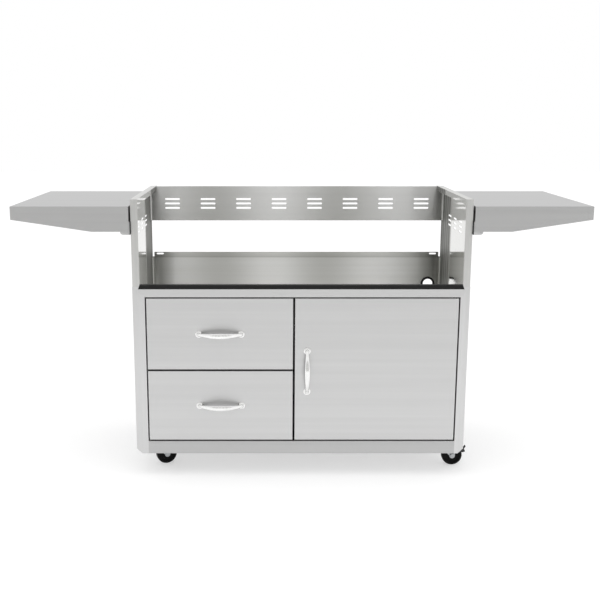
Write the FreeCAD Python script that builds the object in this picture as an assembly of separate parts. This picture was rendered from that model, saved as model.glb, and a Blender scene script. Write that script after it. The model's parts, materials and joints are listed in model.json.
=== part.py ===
import FreeCAD, Part
import math
import os

Vector = FreeCAD.Vector

# A stainless cart for a drop-in grill, in millimetres.
# +X is to the right, +Y to the rear and +Z up; the origin is on the floor under the middle of the cart.

# Overall sizes
CART_WIDTH = 1030.0
CART_DEPTH = 500.0
CART_HEIGHT = 878.0
SEAM_HEIGHT = 612.0
SKIRT_HEIGHT = 76.0

# Sheet metal and fits
SHEET = 1.0
BEND = 1.5
RUN_GAP = 0.3
PIN_GAP = 0.05
TOUCH = 1e-4

# Face frame
LEFT_STILE_WIDTH = 37.5
RIGHT_STILE_WIDTH = 28.5
TOP_RAIL_HEIGHT = 32.0
BOTTOM_RAIL_HEIGHT = 41.5
FRAME_RETURN = 24.0
SKIRT_CHAMFER = 17.0
SKIRT_FLANGE = 8.0

# Cheeks of the open bay
CHEEK_FLANGE = 22.0
CHEEK_TOP_LIP = 17.0
CHEEK_FRONT_LIP = 12.0
TRAY_LEDGE = 14.0

# Vent slots
VENT_HEIGHT = 6.5
VENT_ROW_PITCH = 15.5
VENT_ROWS = 3
BACK_VENT_LENGTH = 52.0
BACK_VENT_GROUPS = 8
BACK_VENT_PITCH = 124.8
CHEEK_VENT_LENGTH = 48.0
CHEEK_VENT_GROUPS = 3
CHEEK_VENT_PITCH = 86.0
CHEEK_VENT_SETBACK = 262.0
CHEEK_VENT_DROP = 104.0

# Back of the bay and its tray
UPPER_BACK_HEIGHT = 119.8
UPPER_BACK_FLANGE = 15.0
BACK_SIDE_FLANGE = 15.0
LOWER_BACK_RISE = 31.0
LOWER_BACK_LIP = 16.0
LOWER_BACK_LIP_CUTBACK = 6.0
LIP_SLOT_LENGTH = 25.0
LIP_SLOT_HEIGHT = 6.0
LIP_SLOT_INSET = 27.0
TRAY_HEIGHT = 488.0
TRAY_SIDE_LIP = 12.0
TRAY_REAR_LIP = 10.0

# Hose hole and its grommet
HOSE_INSET = 41.0
HOSE_CLEARANCE = 5.0
HOSE_RADIUS = 17.5
GROMMET_RADIUS = 25.0
GROMMET_SEAT = 21.0
GROMMET_FLANGE = 3.0

# Rubber trim on the bay's front edge
TRIM_RISE = 6.0
TRIM_DROP = 7.0
TRIM_LIP = 2.5
TRIM_DEPTH = 16.0
TRIM_SLANT = 5.0

# Cabinet inside
FLOOR_RISE = 10.0
DIVIDER_WIDTH = 20.0
DIVIDER_LIP = 6.0
LINER_STEP = 2.0
REAR_FLANGE = 15.0

# Door and drawer fronts
FRONT_GAP = 4.0
CENTRE_GAP = 6.0
DRAWER_GAP = 5.0
SPLIT_X = -21.0
FRONT_THICK = 20.0
FRONT_BORDER = 26.0

# Drawer boxes and their telescopic runners
BOX_HEIGHT = 116.0
BOX_REAR_GAP = 14.0
BOX_RISE = 11.0
BOX_HEM = 8.0
RUNNER_THICK = 12.7
RUNNER_HEIGHT = 45.0
RUNNER_SETBACK = 24.0
RUNNER_RISE = 38.0
RUNNER_STEEL = 1.2
RUNNER_LIP = 4.0
RUNNER_MOUTH = 10.5
RUNNER_MIDDLE_WEB = 3.0
RUNNER_INNER_MOUTH = 5.5
RUNNER_INNER_LIP = 2.0

# Bow handles
HANDLE_REACH = 35.0
HANDLE_SPACING = 130.0
HANDLE_RISE = 0.5
HANDLE_MIDDLE_TALL = 16.5
HANDLE_MIDDLE_DEEP = 8.0
HANDLE_END_TALL = 10.5
HANDLE_END_DEEP = 7.0
HANDLE_STATIONS = 9
HANDLE_NECK = 7.0
FOOT_RADIUS = 10.5
FOOT_RIM = 1.5
FOOT_TOP_RADIUS = 5.6
DOOR_HANDLE_INSET = 38.0
DOOR_HANDLE_DROP = 3.5
SCREW_RADIUS = 2.0
SCREW_DEPTH = 6.0
SCREW_HEAD_RADIUS = 4.0
SCREW_HEAD = 2.5

# Door pivots and catch
PIVOT_INSET = 10.0
PIVOT_SETBACK = 8.0
PIVOT_RADIUS = 4.0
PIVOT_REACH = 8.0
PIVOT_HEAD_RADIUS = 6.5
PIVOT_HEAD = 3.0
BUSH_RADIUS = 6.0
BUSH_LENGTH = 9.0
BUSH_FLANGE_RADIUS = 7.0
TOP_BUSH_FLANGE = 2.5
STRIKE_THICK = 0.6
CATCH_WIDTH = 45.0
CATCH_HEIGHT = 16.0
CATCH_INSET = 20.0
CATCH_DROP = 22.0

# Side shelves
SHELF_LENGTH = 352.5
SHELF_GAP = 3.0
SHELF_DROP = 20.0
SHELF_OVERHANG = 10.0
SHELF_INNER_APRON = 76.0
SHELF_OUTER_APRON = 40.0
SHELF_FLAT = 112.0
SHELF_RETURN = 12.0
SHELF_BAND = 17.0
SEAM_GROOVE = 0.8
SEAM_GROOVE_DEPTH = 0.5
SHELF_PIVOT_INSET = 13.0
SHELF_PIN_RADIUS = 5.0
SHELF_PIN_HEAD_RADIUS = 8.0
SHELF_PIN_HEAD = 3.0
BRACKET_PLATE = 2.0
BRACKET_WIDTH = 30.0
BRACKET_DROP = 9.5
BRACKET_TALL = 40.0
BRACKET_TAB = 55.0
BRACKET_ROUND = 9.0

# Casters
CASTER_INSET_X = 48.0
CASTER_INSET_Y = 105.0
FRONT_LEFT_TURN = 22.0
WHEEL_RADIUS = 33.0
WHEEL_WIDTH = 24.0
WHEEL_SHOULDER = 5.0
WHEEL_HUB_RADIUS = 11.0
WHEEL_RECESS_RADIUS = 24.0
WHEEL_RECESS = 3.0
TRAIL = 33.5
AXLE_RADIUS = 4.0
AXLE_HEAD_RADIUS = 7.0
AXLE_HEAD = 3.0
LEG_GAP = 1.0
LEG_PLATE = 2.5
LEG_BOSS = 9.0
FORK_NOSE = 14.0
FORK_TAIL = 42.0
BRIDGE_GAP = 4.5
BRIDGE_PLATE = 2.5
RACE_RADIUS = 20.0
KINGPIN_RADIUS = 6.0
KINGPIN_HEAD_RADIUS = 9.0
KINGPIN_HEAD = 3.0
PLATE_WIDTH = 56.0
PLATE_DEPTH = 64.0
PLATE_THICK = 2.5
PLATE_BOSS = 6.5
BOLT_SPACING_X = 40.0
BOLT_SPACING_Y = 48.0
BOLT_RADIUS = 4.0
BOLT_FLATS = 13.0
BOLT_HEAD = 5.0
PEDAL_PIVOT_BACK = 36.5
PEDAL_PIVOT_RISE = 17.0
PEDAL_PIN_RADIUS = 2.5
PEDAL_HUB_RADIUS = 4.3
PEDAL_LUG = 4.5
PEDAL_REACH = 15.0
PEDAL_WIDTH = 11.0
PEDAL_SHOE = 6.5
PEDAL_PLATE = 2.6
PEDAL_SLANT = 58.0

# Planes that several pieces share
HALF = CART_WIDTH / 2
FRONT = (HANDLE_REACH - CART_DEPTH - SHELF_OVERHANG) / 2
BACK = FRONT + CART_DEPTH
CHEEK_OUT = HALF - SHEET
CHEEK_IN = CHEEK_OUT - SHEET
CHEEK_LIP = CHEEK_OUT - CHEEK_FLANGE
LEFT_STILE_IN = LEFT_STILE_WIDTH - HALF
RIGHT_STILE_IN = HALF - RIGHT_STILE_WIDTH
OPENING_TOP = SEAM_HEIGHT - TOP_RAIL_HEIGHT
OPENING_BOTTOM = SKIRT_HEIGHT + BOTTOM_RAIL_HEIGHT
FLOOR_UNDER = SKIRT_HEIGHT + FLOOR_RISE
FLOOR_TOP = FLOOR_UNDER + SHEET
FLOOR_HALF = HALF - SKIRT_CHAMFER - SHEET
CHAMFER_MITRE = SHEET * math.tan(math.pi / 8)
INSIDE_FRONT = FRONT + FRAME_RETURN + RUN_GAP
UPPER_BACK_REAR = BACK - UPPER_BACK_FLANGE
UPPER_BACK_FRONT = UPPER_BACK_REAR - SHEET
UPPER_BACK_TOP = CART_HEIGHT - SHEET
UPPER_BACK_BOTTOM = UPPER_BACK_TOP - UPPER_BACK_HEIGHT
LOWER_BACK_TOP = SEAM_HEIGHT + LOWER_BACK_RISE
LIP_FOLD = LOWER_BACK_TOP - LOWER_BACK_LIP
LIP_FRONT = BACK - SHEET
LOWER_BACK_FRONT = LIP_FRONT - SHEET
HOSE_X = CHEEK_IN - HOSE_INSET
HOSE_HEIGHT = TRAY_HEIGHT + TRAY_REAR_LIP + GROMMET_RADIUS + HOSE_CLEARANCE
DIVIDER_LEFT = SPLIT_X - DIVIDER_WIDTH / 2
DIVIDER_RIGHT = SPLIT_X + DIVIDER_WIDTH / 2
LINER_FACE = LEFT_STILE_IN + LINER_STEP
DRAWER_LEFT = LEFT_STILE_IN + FRONT_GAP
DRAWER_RIGHT = SPLIT_X - CENTRE_GAP / 2
DOOR_LEFT = SPLIT_X + CENTRE_GAP / 2
DOOR_RIGHT = RIGHT_STILE_IN - FRONT_GAP
FRONTS_BOTTOM = OPENING_BOTTOM + FRONT_GAP
FRONTS_TOP = OPENING_TOP - FRONT_GAP
DRAWER_FRONT_HEIGHT = (FRONTS_TOP - FRONTS_BOTTOM - DRAWER_GAP) / 2
DRAWER_BOTTOMS = {
    "upper": FRONTS_TOP - DRAWER_FRONT_HEIGHT,
    "lower": FRONTS_BOTTOM,
}
FRONT_REAR = FRONT + FRONT_THICK
BOX_REAR = BACK - SHEET - REAR_FLANGE - BOX_REAR_GAP
PIVOT_X = DOOR_RIGHT - PIVOT_INSET
PIVOT_Y = FRONT + PIVOT_SETBACK
SHELF_TOP = CART_HEIGHT - SHELF_DROP
SHELF_IN = HALF + SHELF_GAP
SHELF_OUT = SHELF_IN + SHELF_LENGTH
SHELF_FRONT = FRONT - SHELF_OVERHANG
SHELF_BACK = BACK + SHELF_OVERHANG
SHELF_BOTTOM = SHELF_TOP - SHELF_INNER_APRON
SHELF_PIVOT_X = SHELF_IN + SHELF_PIVOT_INSET
SHELF_PIVOT_Z = SHELF_BOTTOM + SHELF_PIVOT_INSET
EAR_FRONT = SHELF_FRONT + SHEET + RUN_GAP
EAR_BACK = SHELF_BACK - SHEET - RUN_GAP
BRACKET_BOTTOM = SHELF_BOTTOM - BRACKET_DROP
BRACKET_TOP = BRACKET_BOTTOM + BRACKET_TALL
CASTER_X = HALF - CASTER_INSET_X
CASTER_FRONT_Y = FRONT + CASTER_INSET_Y
CASTER_BACK_Y = BACK - CASTER_INSET_Y
LEG_IN = WHEEL_WIDTH / 2 + LEG_GAP
LEG_OUT = LEG_IN + LEG_PLATE
BRIDGE_LOW = 2 * WHEEL_RADIUS + BRIDGE_GAP
BRIDGE_TOP = BRIDGE_LOW + BRIDGE_PLATE
PLATE_LOW = FLOOR_UNDER - PLATE_THICK
RACE_TOP = PLATE_LOW - PLATE_BOSS - RUN_GAP
PEDAL_PIVOT_U = TRAIL + PEDAL_PIVOT_BACK
PEDAL_PIVOT_Z = WHEEL_RADIUS + PEDAL_PIVOT_RISE

# Each caster: swivel axis, how far it is turned at rest, and whether it has a brake
CASTERS = {
    "front_left": (-CASTER_X, CASTER_FRONT_Y, FRONT_LEFT_TURN, True),
    "front_right": (CASTER_X, CASTER_FRONT_Y, 0.0, True),
    "rear_left": (-CASTER_X, CASTER_BACK_Y, 0.0, False),
    "rear_right": (CASTER_X, CASTER_BACK_Y, 0.0, False),
}


def block(x_low, x_high, y_low, y_high, z_low, z_high):
    """Box between two corners."""
    return Part.makeBox(x_high - x_low, y_high - y_low, z_high - z_low, Vector(x_low, y_low, z_low))


def prism_y(points, y_low, y_high):
    """Solid whose outline lies in the XZ plane, run along Y."""
    corners = [Vector(x, y_low, z) for x, z in points]
    outline = Part.makePolygon(corners + corners[:1])
    return Part.Face(outline).extrude(Vector(0, y_high - y_low, 0))


def rod_y(x, z, radius, y_low, y_high):
    """Round bar along Y."""
    return Part.makeCylinder(radius, y_high - y_low, Vector(x, y_low, z), Vector(0, 1, 0))


def rod_z(x, y, radius, z_low, z_high):
    """Round bar along Z."""
    return Part.makeCylinder(radius, z_high - z_low, Vector(x, y, z_low))


def hex_z(x, y, flats, z_low, z_high):
    """Hexagonal bar along Z."""
    radius = flats / math.sqrt(3)
    turns = [math.radians(60 * corner) for corner in range(6)]
    corners = [Vector(x + radius * math.cos(turn), y + radius * math.sin(turn), z_low) for turn in turns]
    outline = Part.makePolygon(corners + corners[:1])
    return Part.Face(outline).extrude(Vector(0, 0, z_high - z_low))


def joined(first, *others):
    """Several solids as one, with the seams between level faces taken out."""
    return first.multiFuse(list(others)).removeSplitter()


def mirrored(shape):
    """The same piece on the other side of the cart."""
    return shape.mirror(Vector(0, 0, 0), Vector(1, 0, 0))


def edges_at(shape, **planes):
    """Straight edges that lie in every plane given, such as x=..., z=..."""

    def lies_in_all(edge):
        return all(
            abs(getattr(vertex.Point, axis) - place) < TOUCH
            for vertex in edge.Vertexes
            for axis, place in planes.items()
        )

    return [edge for edge in shape.Edges if lies_in_all(edge)]


def slot_cutter(centre, along, through, length, height):
    """Oblong with round ends, level in Z, pushed through a sheet."""
    reach = along * ((length - height) / 2)
    rise = Vector(0, 0, height / 2)
    end = along * (length / 2)
    sides = [
        Part.LineSegment(centre - reach + rise, centre + reach + rise),
        Part.Arc(centre + reach + rise, centre + end, centre + reach - rise),
        Part.LineSegment(centre + reach - rise, centre - reach - rise),
        Part.Arc(centre - reach - rise, centre - end, centre - reach + rise),
    ]
    outline = Part.Wire([side.toShape() for side in sides])
    return Part.Face(outline).extrude(through)


def vent_cutters(middle, along, through, length, groups, pitch):
    """Groups of short slots, one above another, in a row about their middle."""
    cutters = []
    for group in range(groups):
        shift = along * (pitch * (group - (groups - 1) / 2))
        for row in range(VENT_ROWS):
            rise = Vector(0, 0, VENT_ROW_PITCH * (row - (VENT_ROWS - 1) / 2))
            cutters.append(slot_cutter(middle + shift + rise, along, through, length, VENT_HEIGHT))
    return cutters


# Bay


def right_cheek():
    """Side wall of the bay: folded at the front and the top, its foot inside the cabinet."""
    pan = block(CHEEK_LIP, CHEEK_OUT, FRONT, BACK, SEAM_HEIGHT, CART_HEIGHT)
    bends = edges_at(pan, x=CHEEK_OUT, y=FRONT) + edges_at(pan, x=CHEEK_OUT, z=CART_HEIGHT)
    pan = pan.makeFillet(BEND, bends)
    hollow = block(
        CHEEK_LIP - SHEET, CHEEK_IN, FRONT + SHEET, BACK + SHEET, SEAM_HEIGHT - SHEET, CART_HEIGHT - SHEET
    )
    lip = CHEEK_LIP + SHEET
    lip_end = UPPER_BACK_FRONT - BACK_SIDE_FLANGE - RUN_GAP
    top_lip = block(CHEEK_LIP, lip, FRONT, lip_end, CART_HEIGHT - CHEEK_TOP_LIP, CART_HEIGHT)
    front_lip = block(CHEEK_LIP, lip, FRONT, FRONT + CHEEK_FRONT_LIP, SEAM_HEIGHT, CART_HEIGHT)
    foot_low = TRAY_HEIGHT - SHEET
    foot = block(CHEEK_IN, CHEEK_OUT, FRONT + SHEET + RUN_GAP, BACK, foot_low, SEAM_HEIGHT)
    ledge = block(CHEEK_OUT - TRAY_LEDGE, CHEEK_OUT, INSIDE_FRONT, BACK, foot_low, TRAY_HEIGHT)
    wall = joined(pan.cut(hollow), top_lip, front_lip, foot, ledge)
    middle = Vector(CHEEK_OUT + SHEET, FRONT + CHEEK_VENT_SETBACK, CART_HEIGHT - CHEEK_VENT_DROP)
    through = Vector(-3 * SHEET, 0, 0)
    vents = vent_cutters(
        middle, Vector(0, 1, 0), through, CHEEK_VENT_LENGTH, CHEEK_VENT_GROUPS, CHEEK_VENT_PITCH
    )
    return wall.cut(vents)


def side_flanges(sheet_front, z_low, z_high):
    """Pair of flanges by which a back panel is fixed to the cheeks."""
    right = block(CHEEK_IN - SHEET, CHEEK_IN, sheet_front - BACK_SIDE_FLANGE, sheet_front, z_low, z_high)
    return [right, mirrored(right)]


def upper_back_panel():
    """Slotted channel across the top of the bay's back."""
    outside = block(-CHEEK_IN, CHEEK_IN, UPPER_BACK_FRONT, BACK, UPPER_BACK_BOTTOM, UPPER_BACK_TOP)
    bends = edges_at(outside, y=UPPER_BACK_FRONT, z=UPPER_BACK_TOP)
    bends += edges_at(outside, y=UPPER_BACK_FRONT, z=UPPER_BACK_BOTTOM)
    outside = outside.makeFillet(BEND, bends)
    hollow = block(
        -HALF, HALF, UPPER_BACK_REAR, BACK + SHEET, UPPER_BACK_BOTTOM + SHEET, UPPER_BACK_TOP - SHEET
    )
    flanges = side_flanges(UPPER_BACK_FRONT + SHEET, UPPER_BACK_BOTTOM + BEND, UPPER_BACK_TOP - BEND)
    panel = joined(outside.cut(hollow), *flanges)
    middle = Vector(0, UPPER_BACK_FRONT - SHEET, (UPPER_BACK_TOP + UPPER_BACK_BOTTOM) / 2)
    through = Vector(0, 3 * SHEET, 0)
    vents = vent_cutters(
        middle, Vector(1, 0, 0), through, BACK_VENT_LENGTH, BACK_VENT_GROUPS, BACK_VENT_PITCH
    )
    return panel.cut(vents)


def lower_back_panel():
    """Rear wall of the bay, with an offset lip along its top and a hole for the gas hose."""
    sheet = block(-CHEEK_IN, CHEEK_IN, LOWER_BACK_FRONT, LIP_FRONT, TRAY_HEIGHT, LIP_FOLD)
    lip_half = CHEEK_IN - LOWER_BACK_LIP_CUTBACK
    lip = block(-lip_half, lip_half, LIP_FRONT, BACK, LIP_FOLD - SHEET, LOWER_BACK_TOP)
    panel = joined(sheet, lip, *side_flanges(LIP_FRONT, TRAY_HEIGHT, LIP_FOLD))
    cutters = [rod_y(HOSE_X, HOSE_HEIGHT, GROMMET_SEAT, LOWER_BACK_FRONT - SHEET, BACK + SHEET)]
    slot_height = LOWER_BACK_TOP - LIP_SLOT_HEIGHT
    for side in (-1, 1):
        centre = Vector(side * (CHEEK_IN - LIP_SLOT_INSET), LIP_FRONT - SHEET, slot_height)
        through = Vector(0, 3 * SHEET, 0)
        cutters.append(slot_cutter(centre, Vector(1, 0, 0), through, LIP_SLOT_LENGTH, LIP_SLOT_HEIGHT))
    return panel.cut(cutters)


def hose_grommet():
    """Rubber ring that grips the edge of the hose hole."""
    ring_front = LOWER_BACK_FRONT - GROMMET_FLANGE
    ring_back = LIP_FRONT + GROMMET_FLANGE
    front = rod_y(HOSE_X, HOSE_HEIGHT, GROMMET_RADIUS, ring_front, LOWER_BACK_FRONT)
    rear = rod_y(HOSE_X, HOSE_HEIGHT, GROMMET_RADIUS, LIP_FRONT, ring_back)
    front = front.makeFillet(BEND, edges_at(front, y=ring_front))
    rear = rear.makeFillet(BEND, edges_at(rear, y=ring_back))
    seat = rod_y(HOSE_X, HOSE_HEIGHT, GROMMET_SEAT - PIN_GAP, LOWER_BACK_FRONT, LIP_FRONT)
    bore = rod_y(HOSE_X, HOSE_HEIGHT, HOSE_RADIUS, ring_front - SHEET, ring_back + SHEET)
    return joined(front, rear, seat).cut(bore)


def bay_edge_trim():
    """Rubber strip over the fold of the top rail, its ends cut on the slant."""
    top_half = CHEEK_LIP - RUN_GAP
    low_half = top_half + TRIM_SLANT
    top = SEAM_HEIGHT + TRIM_RISE
    low = SEAM_HEIGHT - TRIM_DROP
    outline = [(-top_half, top), (top_half, top), (low_half, low), (-low_half, low)]
    lip = prism_y(outline, FRONT - TRIM_LIP, FRONT)
    pad = block(-top_half, top_half, FRONT, FRONT + TRIM_DEPTH, SEAM_HEIGHT, top)
    return joined(lip, pad)


def bay_tray():
    """Floor of the bay: its front wall hangs under the top rail, the other edges are low lips."""
    half = CHEEK_IN - SHEET - RUN_GAP
    rear = LOWER_BACK_FRONT - RUN_GAP
    top = SEAM_HEIGHT - SHEET
    floor = block(-half, half, INSIDE_FRONT, rear, TRAY_HEIGHT, TRAY_HEIGHT + SHEET)
    front_wall = block(-half, half, INSIDE_FRONT, INSIDE_FRONT + SHEET, TRAY_HEIGHT, top)
    rear_lip = block(-half, half, rear - SHEET, rear, TRAY_HEIGHT, TRAY_HEIGHT + TRAY_REAR_LIP)
    side_lip = block(half - SHEET, half, INSIDE_FRONT, rear, TRAY_HEIGHT, TRAY_HEIGHT + TRAY_SIDE_LIP)
    return joined(floor, front_wall, rear_lip, side_lip, mirrored(side_lip))


# Cabinet


def side_panel(stile_width):
    """Right cabinet side with its stile folded on, its lower edge folded in on the slant."""
    stile_in = HALF - stile_width
    knee = SKIRT_HEIGHT + SKIRT_CHAMFER
    toe = HALF - SKIRT_CHAMFER
    toe_end = toe - SKIRT_FLANGE
    section = [
        (HALF, SEAM_HEIGHT),
        (HALF, knee),
        (toe, SKIRT_HEIGHT),
        (toe_end, SKIRT_HEIGHT),
        (toe_end, SKIRT_HEIGHT + SHEET),
        (toe - CHAMFER_MITRE, SKIRT_HEIGHT + SHEET),
        (CHEEK_OUT, knee + CHAMFER_MITRE),
        (CHEEK_OUT, SEAM_HEIGHT),
    ]
    skin = prism_y(section, FRONT, BACK)
    face = [
        (HALF, SEAM_HEIGHT),
        (HALF, knee),
        (toe, SKIRT_HEIGHT),
        (stile_in, SKIRT_HEIGHT),
        (stile_in, OPENING_TOP),
    ]
    stile = prism_y(face, FRONT, FRONT + SHEET)
    lip = block(stile_in, stile_in + SHEET, FRONT, FRONT + FRAME_RETURN, SKIRT_HEIGHT, OPENING_TOP)
    panel = joined(skin, stile, lip)
    return panel.makeFillet(BEND, edges_at(panel, x=HALF, y=FRONT))


def top_rail():
    """Rail over the door and drawers, mitred into the stiles."""
    left_mitre = SEAM_HEIGHT - SHEET * TOP_RAIL_HEIGHT / LEFT_STILE_WIDTH
    right_mitre = SEAM_HEIGHT - SHEET * TOP_RAIL_HEIGHT / RIGHT_STILE_WIDTH
    face = [
        (LEFT_STILE_IN, OPENING_TOP),
        (RIGHT_STILE_IN, OPENING_TOP),
        (CHEEK_OUT, right_mitre),
        (CHEEK_OUT, SEAM_HEIGHT),
        (-CHEEK_OUT, SEAM_HEIGHT),
        (-CHEEK_OUT, left_mitre),
    ]
    front = prism_y(face, FRONT, FRONT + SHEET)
    flange_half = CHEEK_IN - RUN_GAP
    flange_back = INSIDE_FRONT + SHEET
    top = block(-flange_half, flange_half, FRONT, flange_back, SEAM_HEIGHT - SHEET, SEAM_HEIGHT)
    bottom = block(
        LEFT_STILE_IN, RIGHT_STILE_IN, FRONT, FRONT + FRAME_RETURN, OPENING_TOP, OPENING_TOP + SHEET
    )
    hole = rod_z(PIVOT_X, PIVOT_Y, PIVOT_RADIUS + PIN_GAP, OPENING_TOP - SHEET, OPENING_TOP + 2 * SHEET)
    return joined(front, top, bottom).cut(hole)


def bottom_rail():
    """Channel under the door and drawers, between the stiles."""
    outside = block(
        LEFT_STILE_IN, RIGHT_STILE_IN, FRONT, FRONT + FRAME_RETURN, SKIRT_HEIGHT, OPENING_BOTTOM
    )
    bends = edges_at(outside, y=FRONT, z=SKIRT_HEIGHT) + edges_at(outside, y=FRONT, z=OPENING_BOTTOM)
    outside = outside.makeFillet(BEND, bends)
    hollow = block(
        -HALF, HALF, FRONT + SHEET, FRONT + CART_DEPTH, SKIRT_HEIGHT + SHEET, OPENING_BOTTOM - SHEET
    )
    hole = rod_z(
        PIVOT_X, PIVOT_Y, PIVOT_RADIUS + PIN_GAP, OPENING_BOTTOM - 2 * SHEET, OPENING_BOTTOM + SHEET
    )
    return outside.cut(hollow).cut(hole)


def cabinet_floor():
    """Inverted tray that carries the casters, standing on the folded skirts."""
    low = SKIRT_HEIGHT + SHEET
    back = BACK - SHEET
    outside = block(-FLOOR_HALF, FLOOR_HALF, INSIDE_FRONT, back, low, FLOOR_TOP)
    hollow = block(
        SHEET - FLOOR_HALF, FLOOR_HALF - SHEET, INSIDE_FRONT + SHEET, back - SHEET, low - SHEET, FLOOR_UNDER
    )
    holes = [rod_z(x, y, BOLT_RADIUS + PIN_GAP, low, FLOOR_TOP + SHEET) for x, y in bolt_places()]
    return outside.cut(hollow).cut(holes)


def centre_divider():
    """Folded panel between the drawers and the door, closed towards the drawers, with a narrow front lip."""
    back = BACK - SHEET
    outside = block(DIVIDER_LEFT, DIVIDER_RIGHT, INSIDE_FRONT, back, FLOOR_TOP, TRAY_HEIGHT)
    hollow = block(
        DIVIDER_LEFT + SHEET,
        DIVIDER_RIGHT + SHEET,
        INSIDE_FRONT + SHEET,
        back - SHEET,
        FLOOR_TOP + SHEET,
        TRAY_HEIGHT - SHEET,
    )
    lip_edge = DIVIDER_LEFT + DIVIDER_LIP
    mouth = block(
        lip_edge, DIVIDER_RIGHT, INSIDE_FRONT, INSIDE_FRONT + SHEET, FLOOR_TOP + SHEET, TRAY_HEIGHT - SHEET
    )
    return outside.cut([hollow, mouth])


def drawer_liner():
    """Folded panel that carries the left runners, open at the foot over the caster bolts."""
    back = BACK - SHEET - REAR_FLANGE - RUN_GAP
    outside = block(-FLOOR_HALF, LINER_FACE, INSIDE_FRONT, back, FLOOR_TOP, TRAY_HEIGHT)
    hollow = block(
        -FLOOR_HALF - SHEET,
        LINER_FACE - SHEET,
        INSIDE_FRONT + SHEET,
        back - SHEET,
        FLOOR_TOP - SHEET,
        TRAY_HEIGHT - SHEET,
    )
    return outside.cut(hollow)


def rear_panel():
    """Back of the cabinet, inside the folded sides, with flanges turned forward."""
    low = SKIRT_HEIGHT + SHEET
    knee = SKIRT_HEIGHT + SKIRT_CHAMFER + CHAMFER_MITRE
    toe = HALF - SKIRT_CHAMFER - CHAMFER_MITRE
    top = TRAY_HEIGHT - SHEET
    outline = [
        (-toe, low),
        (toe, low),
        (CHEEK_OUT, knee),
        (CHEEK_OUT, top),
        (-CHEEK_OUT, top),
        (-CHEEK_OUT, knee),
    ]
    sheet = prism_y(outline, BACK - SHEET, BACK)
    flange_front = BACK - SHEET - REAR_FLANGE
    right = block(CHEEK_IN, CHEEK_OUT, flange_front, BACK, knee, top)
    head_low = FLOOR_HALF + RUN_GAP
    head = block(head_low, CHEEK_OUT, flange_front, BACK, top - SHEET, top)
    return joined(sheet, right, mirrored(right), head, mirrored(head))


# Drawers


def folded_front(x_low, x_high, z_low, z_high):
    """Shallow folded box that shows at the front, its corners softened by the bends."""
    outside = block(x_low, x_high, FRONT, FRONT_REAR, z_low, z_high)
    return outside.makeFillet(BEND, edges_at(outside, y=FRONT))


def screw_holes(places):
    """Clearance holes through a front for the handle screws."""
    return [rod_y(x, z, SCREW_RADIUS + PIN_GAP, FRONT - SHEET, FRONT + 2 * SHEET) for x, z in places]


def drawer_handle_feet(level):
    """Where the two feet of a drawer's handle stand."""
    middle_x = (DRAWER_LEFT + DRAWER_RIGHT) / 2
    z = DRAWER_BOTTOMS[level] + DRAWER_FRONT_HEIGHT / 2 + HANDLE_RISE
    return [(middle_x + side * HANDLE_SPACING / 2, z) for side in (-1, 1)]


def drawer_front(level):
    """Front of a drawer: folded sheet with a border turned in at the rear."""
    z_low = DRAWER_BOTTOMS[level]
    z_high = z_low + DRAWER_FRONT_HEIGHT
    front = folded_front(DRAWER_LEFT, DRAWER_RIGHT, z_low, z_high)
    hollow = block(
        DRAWER_LEFT + SHEET,
        DRAWER_RIGHT - SHEET,
        FRONT + SHEET,
        FRONT_REAR - SHEET,
        z_low + SHEET,
        z_high - SHEET,
    )
    window = block(
        DRAWER_LEFT + FRONT_BORDER,
        DRAWER_RIGHT - FRONT_BORDER,
        FRONT + SHEET,
        FRONT_REAR + SHEET,
        z_low + FRONT_BORDER,
        z_high - FRONT_BORDER,
    )
    return front.cut([hollow, window] + screw_holes(drawer_handle_feet(level)))


def drawer_box(level):
    """Open box behind a drawer front, its side walls hemmed inwards."""
    x_low = LINER_FACE + RUNNER_THICK
    x_high = DIVIDER_LEFT - RUNNER_THICK
    y_high = BOX_REAR
    z_low = DRAWER_BOTTOMS[level] + BOX_RISE
    z_high = z_low + BOX_HEIGHT
    outside = block(x_low, x_high, FRONT_REAR, y_high, z_low, z_high)
    hollow = block(
        x_low + SHEET, x_high - SHEET, FRONT_REAR + SHEET, y_high - SHEET, z_low + SHEET, z_high - SHEET
    )
    mouth = block(
        x_low + BOX_HEM, x_high - BOX_HEM, FRONT_REAR + SHEET, y_high - SHEET, z_low + SHEET, z_high + SHEET
    )
    return outside.cut([hollow, mouth])


def channel_outline(web, mouth, half_height, lip):
    """Section of a runner member: web, two flanges and the lips at their mouth."""
    inward = RUNNER_STEEL if mouth > web else -RUNNER_STEEL
    upper = [
        (web, half_height),
        (mouth, half_height),
        (mouth, half_height - lip),
        (mouth - inward, half_height - lip),
        (mouth - inward, half_height - RUNNER_STEEL),
        (web + inward, half_height - RUNNER_STEEL),
    ]
    lower = [(depth, -height) for depth, height in reversed(upper)]
    return upper + lower


def runner_outlines():
    """Sections of the three nested members of a telescopic runner, depth first."""
    outer_half = RUNNER_HEIGHT / 2
    middle_half = outer_half - RUNNER_STEEL - RUN_GAP
    throat = outer_half - RUNNER_LIP
    middle_mouth = RUNNER_MOUTH - RUNNER_STEEL - RUN_GAP
    return {
        "cabinet": channel_outline(0.0, RUNNER_MOUTH, outer_half, RUNNER_LIP),
        "middle": channel_outline(RUNNER_MIDDLE_WEB, middle_mouth, middle_half, middle_half - throat),
        "drawer": channel_outline(RUNNER_THICK, RUNNER_INNER_MOUTH, throat - RUN_GAP, RUNNER_INNER_LIP),
    }


def runner_pair(member, level):
    """The left and right runner member of one drawer."""
    z_middle = DRAWER_BOTTOMS[level] + BOX_RISE + RUNNER_RISE
    y_low = FRONT + RUNNER_SETBACK
    pair = []
    for wall_x, side in ((LINER_FACE, 1), (DIVIDER_LEFT, -1)):
        points = [(wall_x + side * depth, z_middle + height) for depth, height in runner_outlines()[member]]
        pair.append(prism_y(points, y_low, BOX_REAR))
    return pair


# Handles


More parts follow.
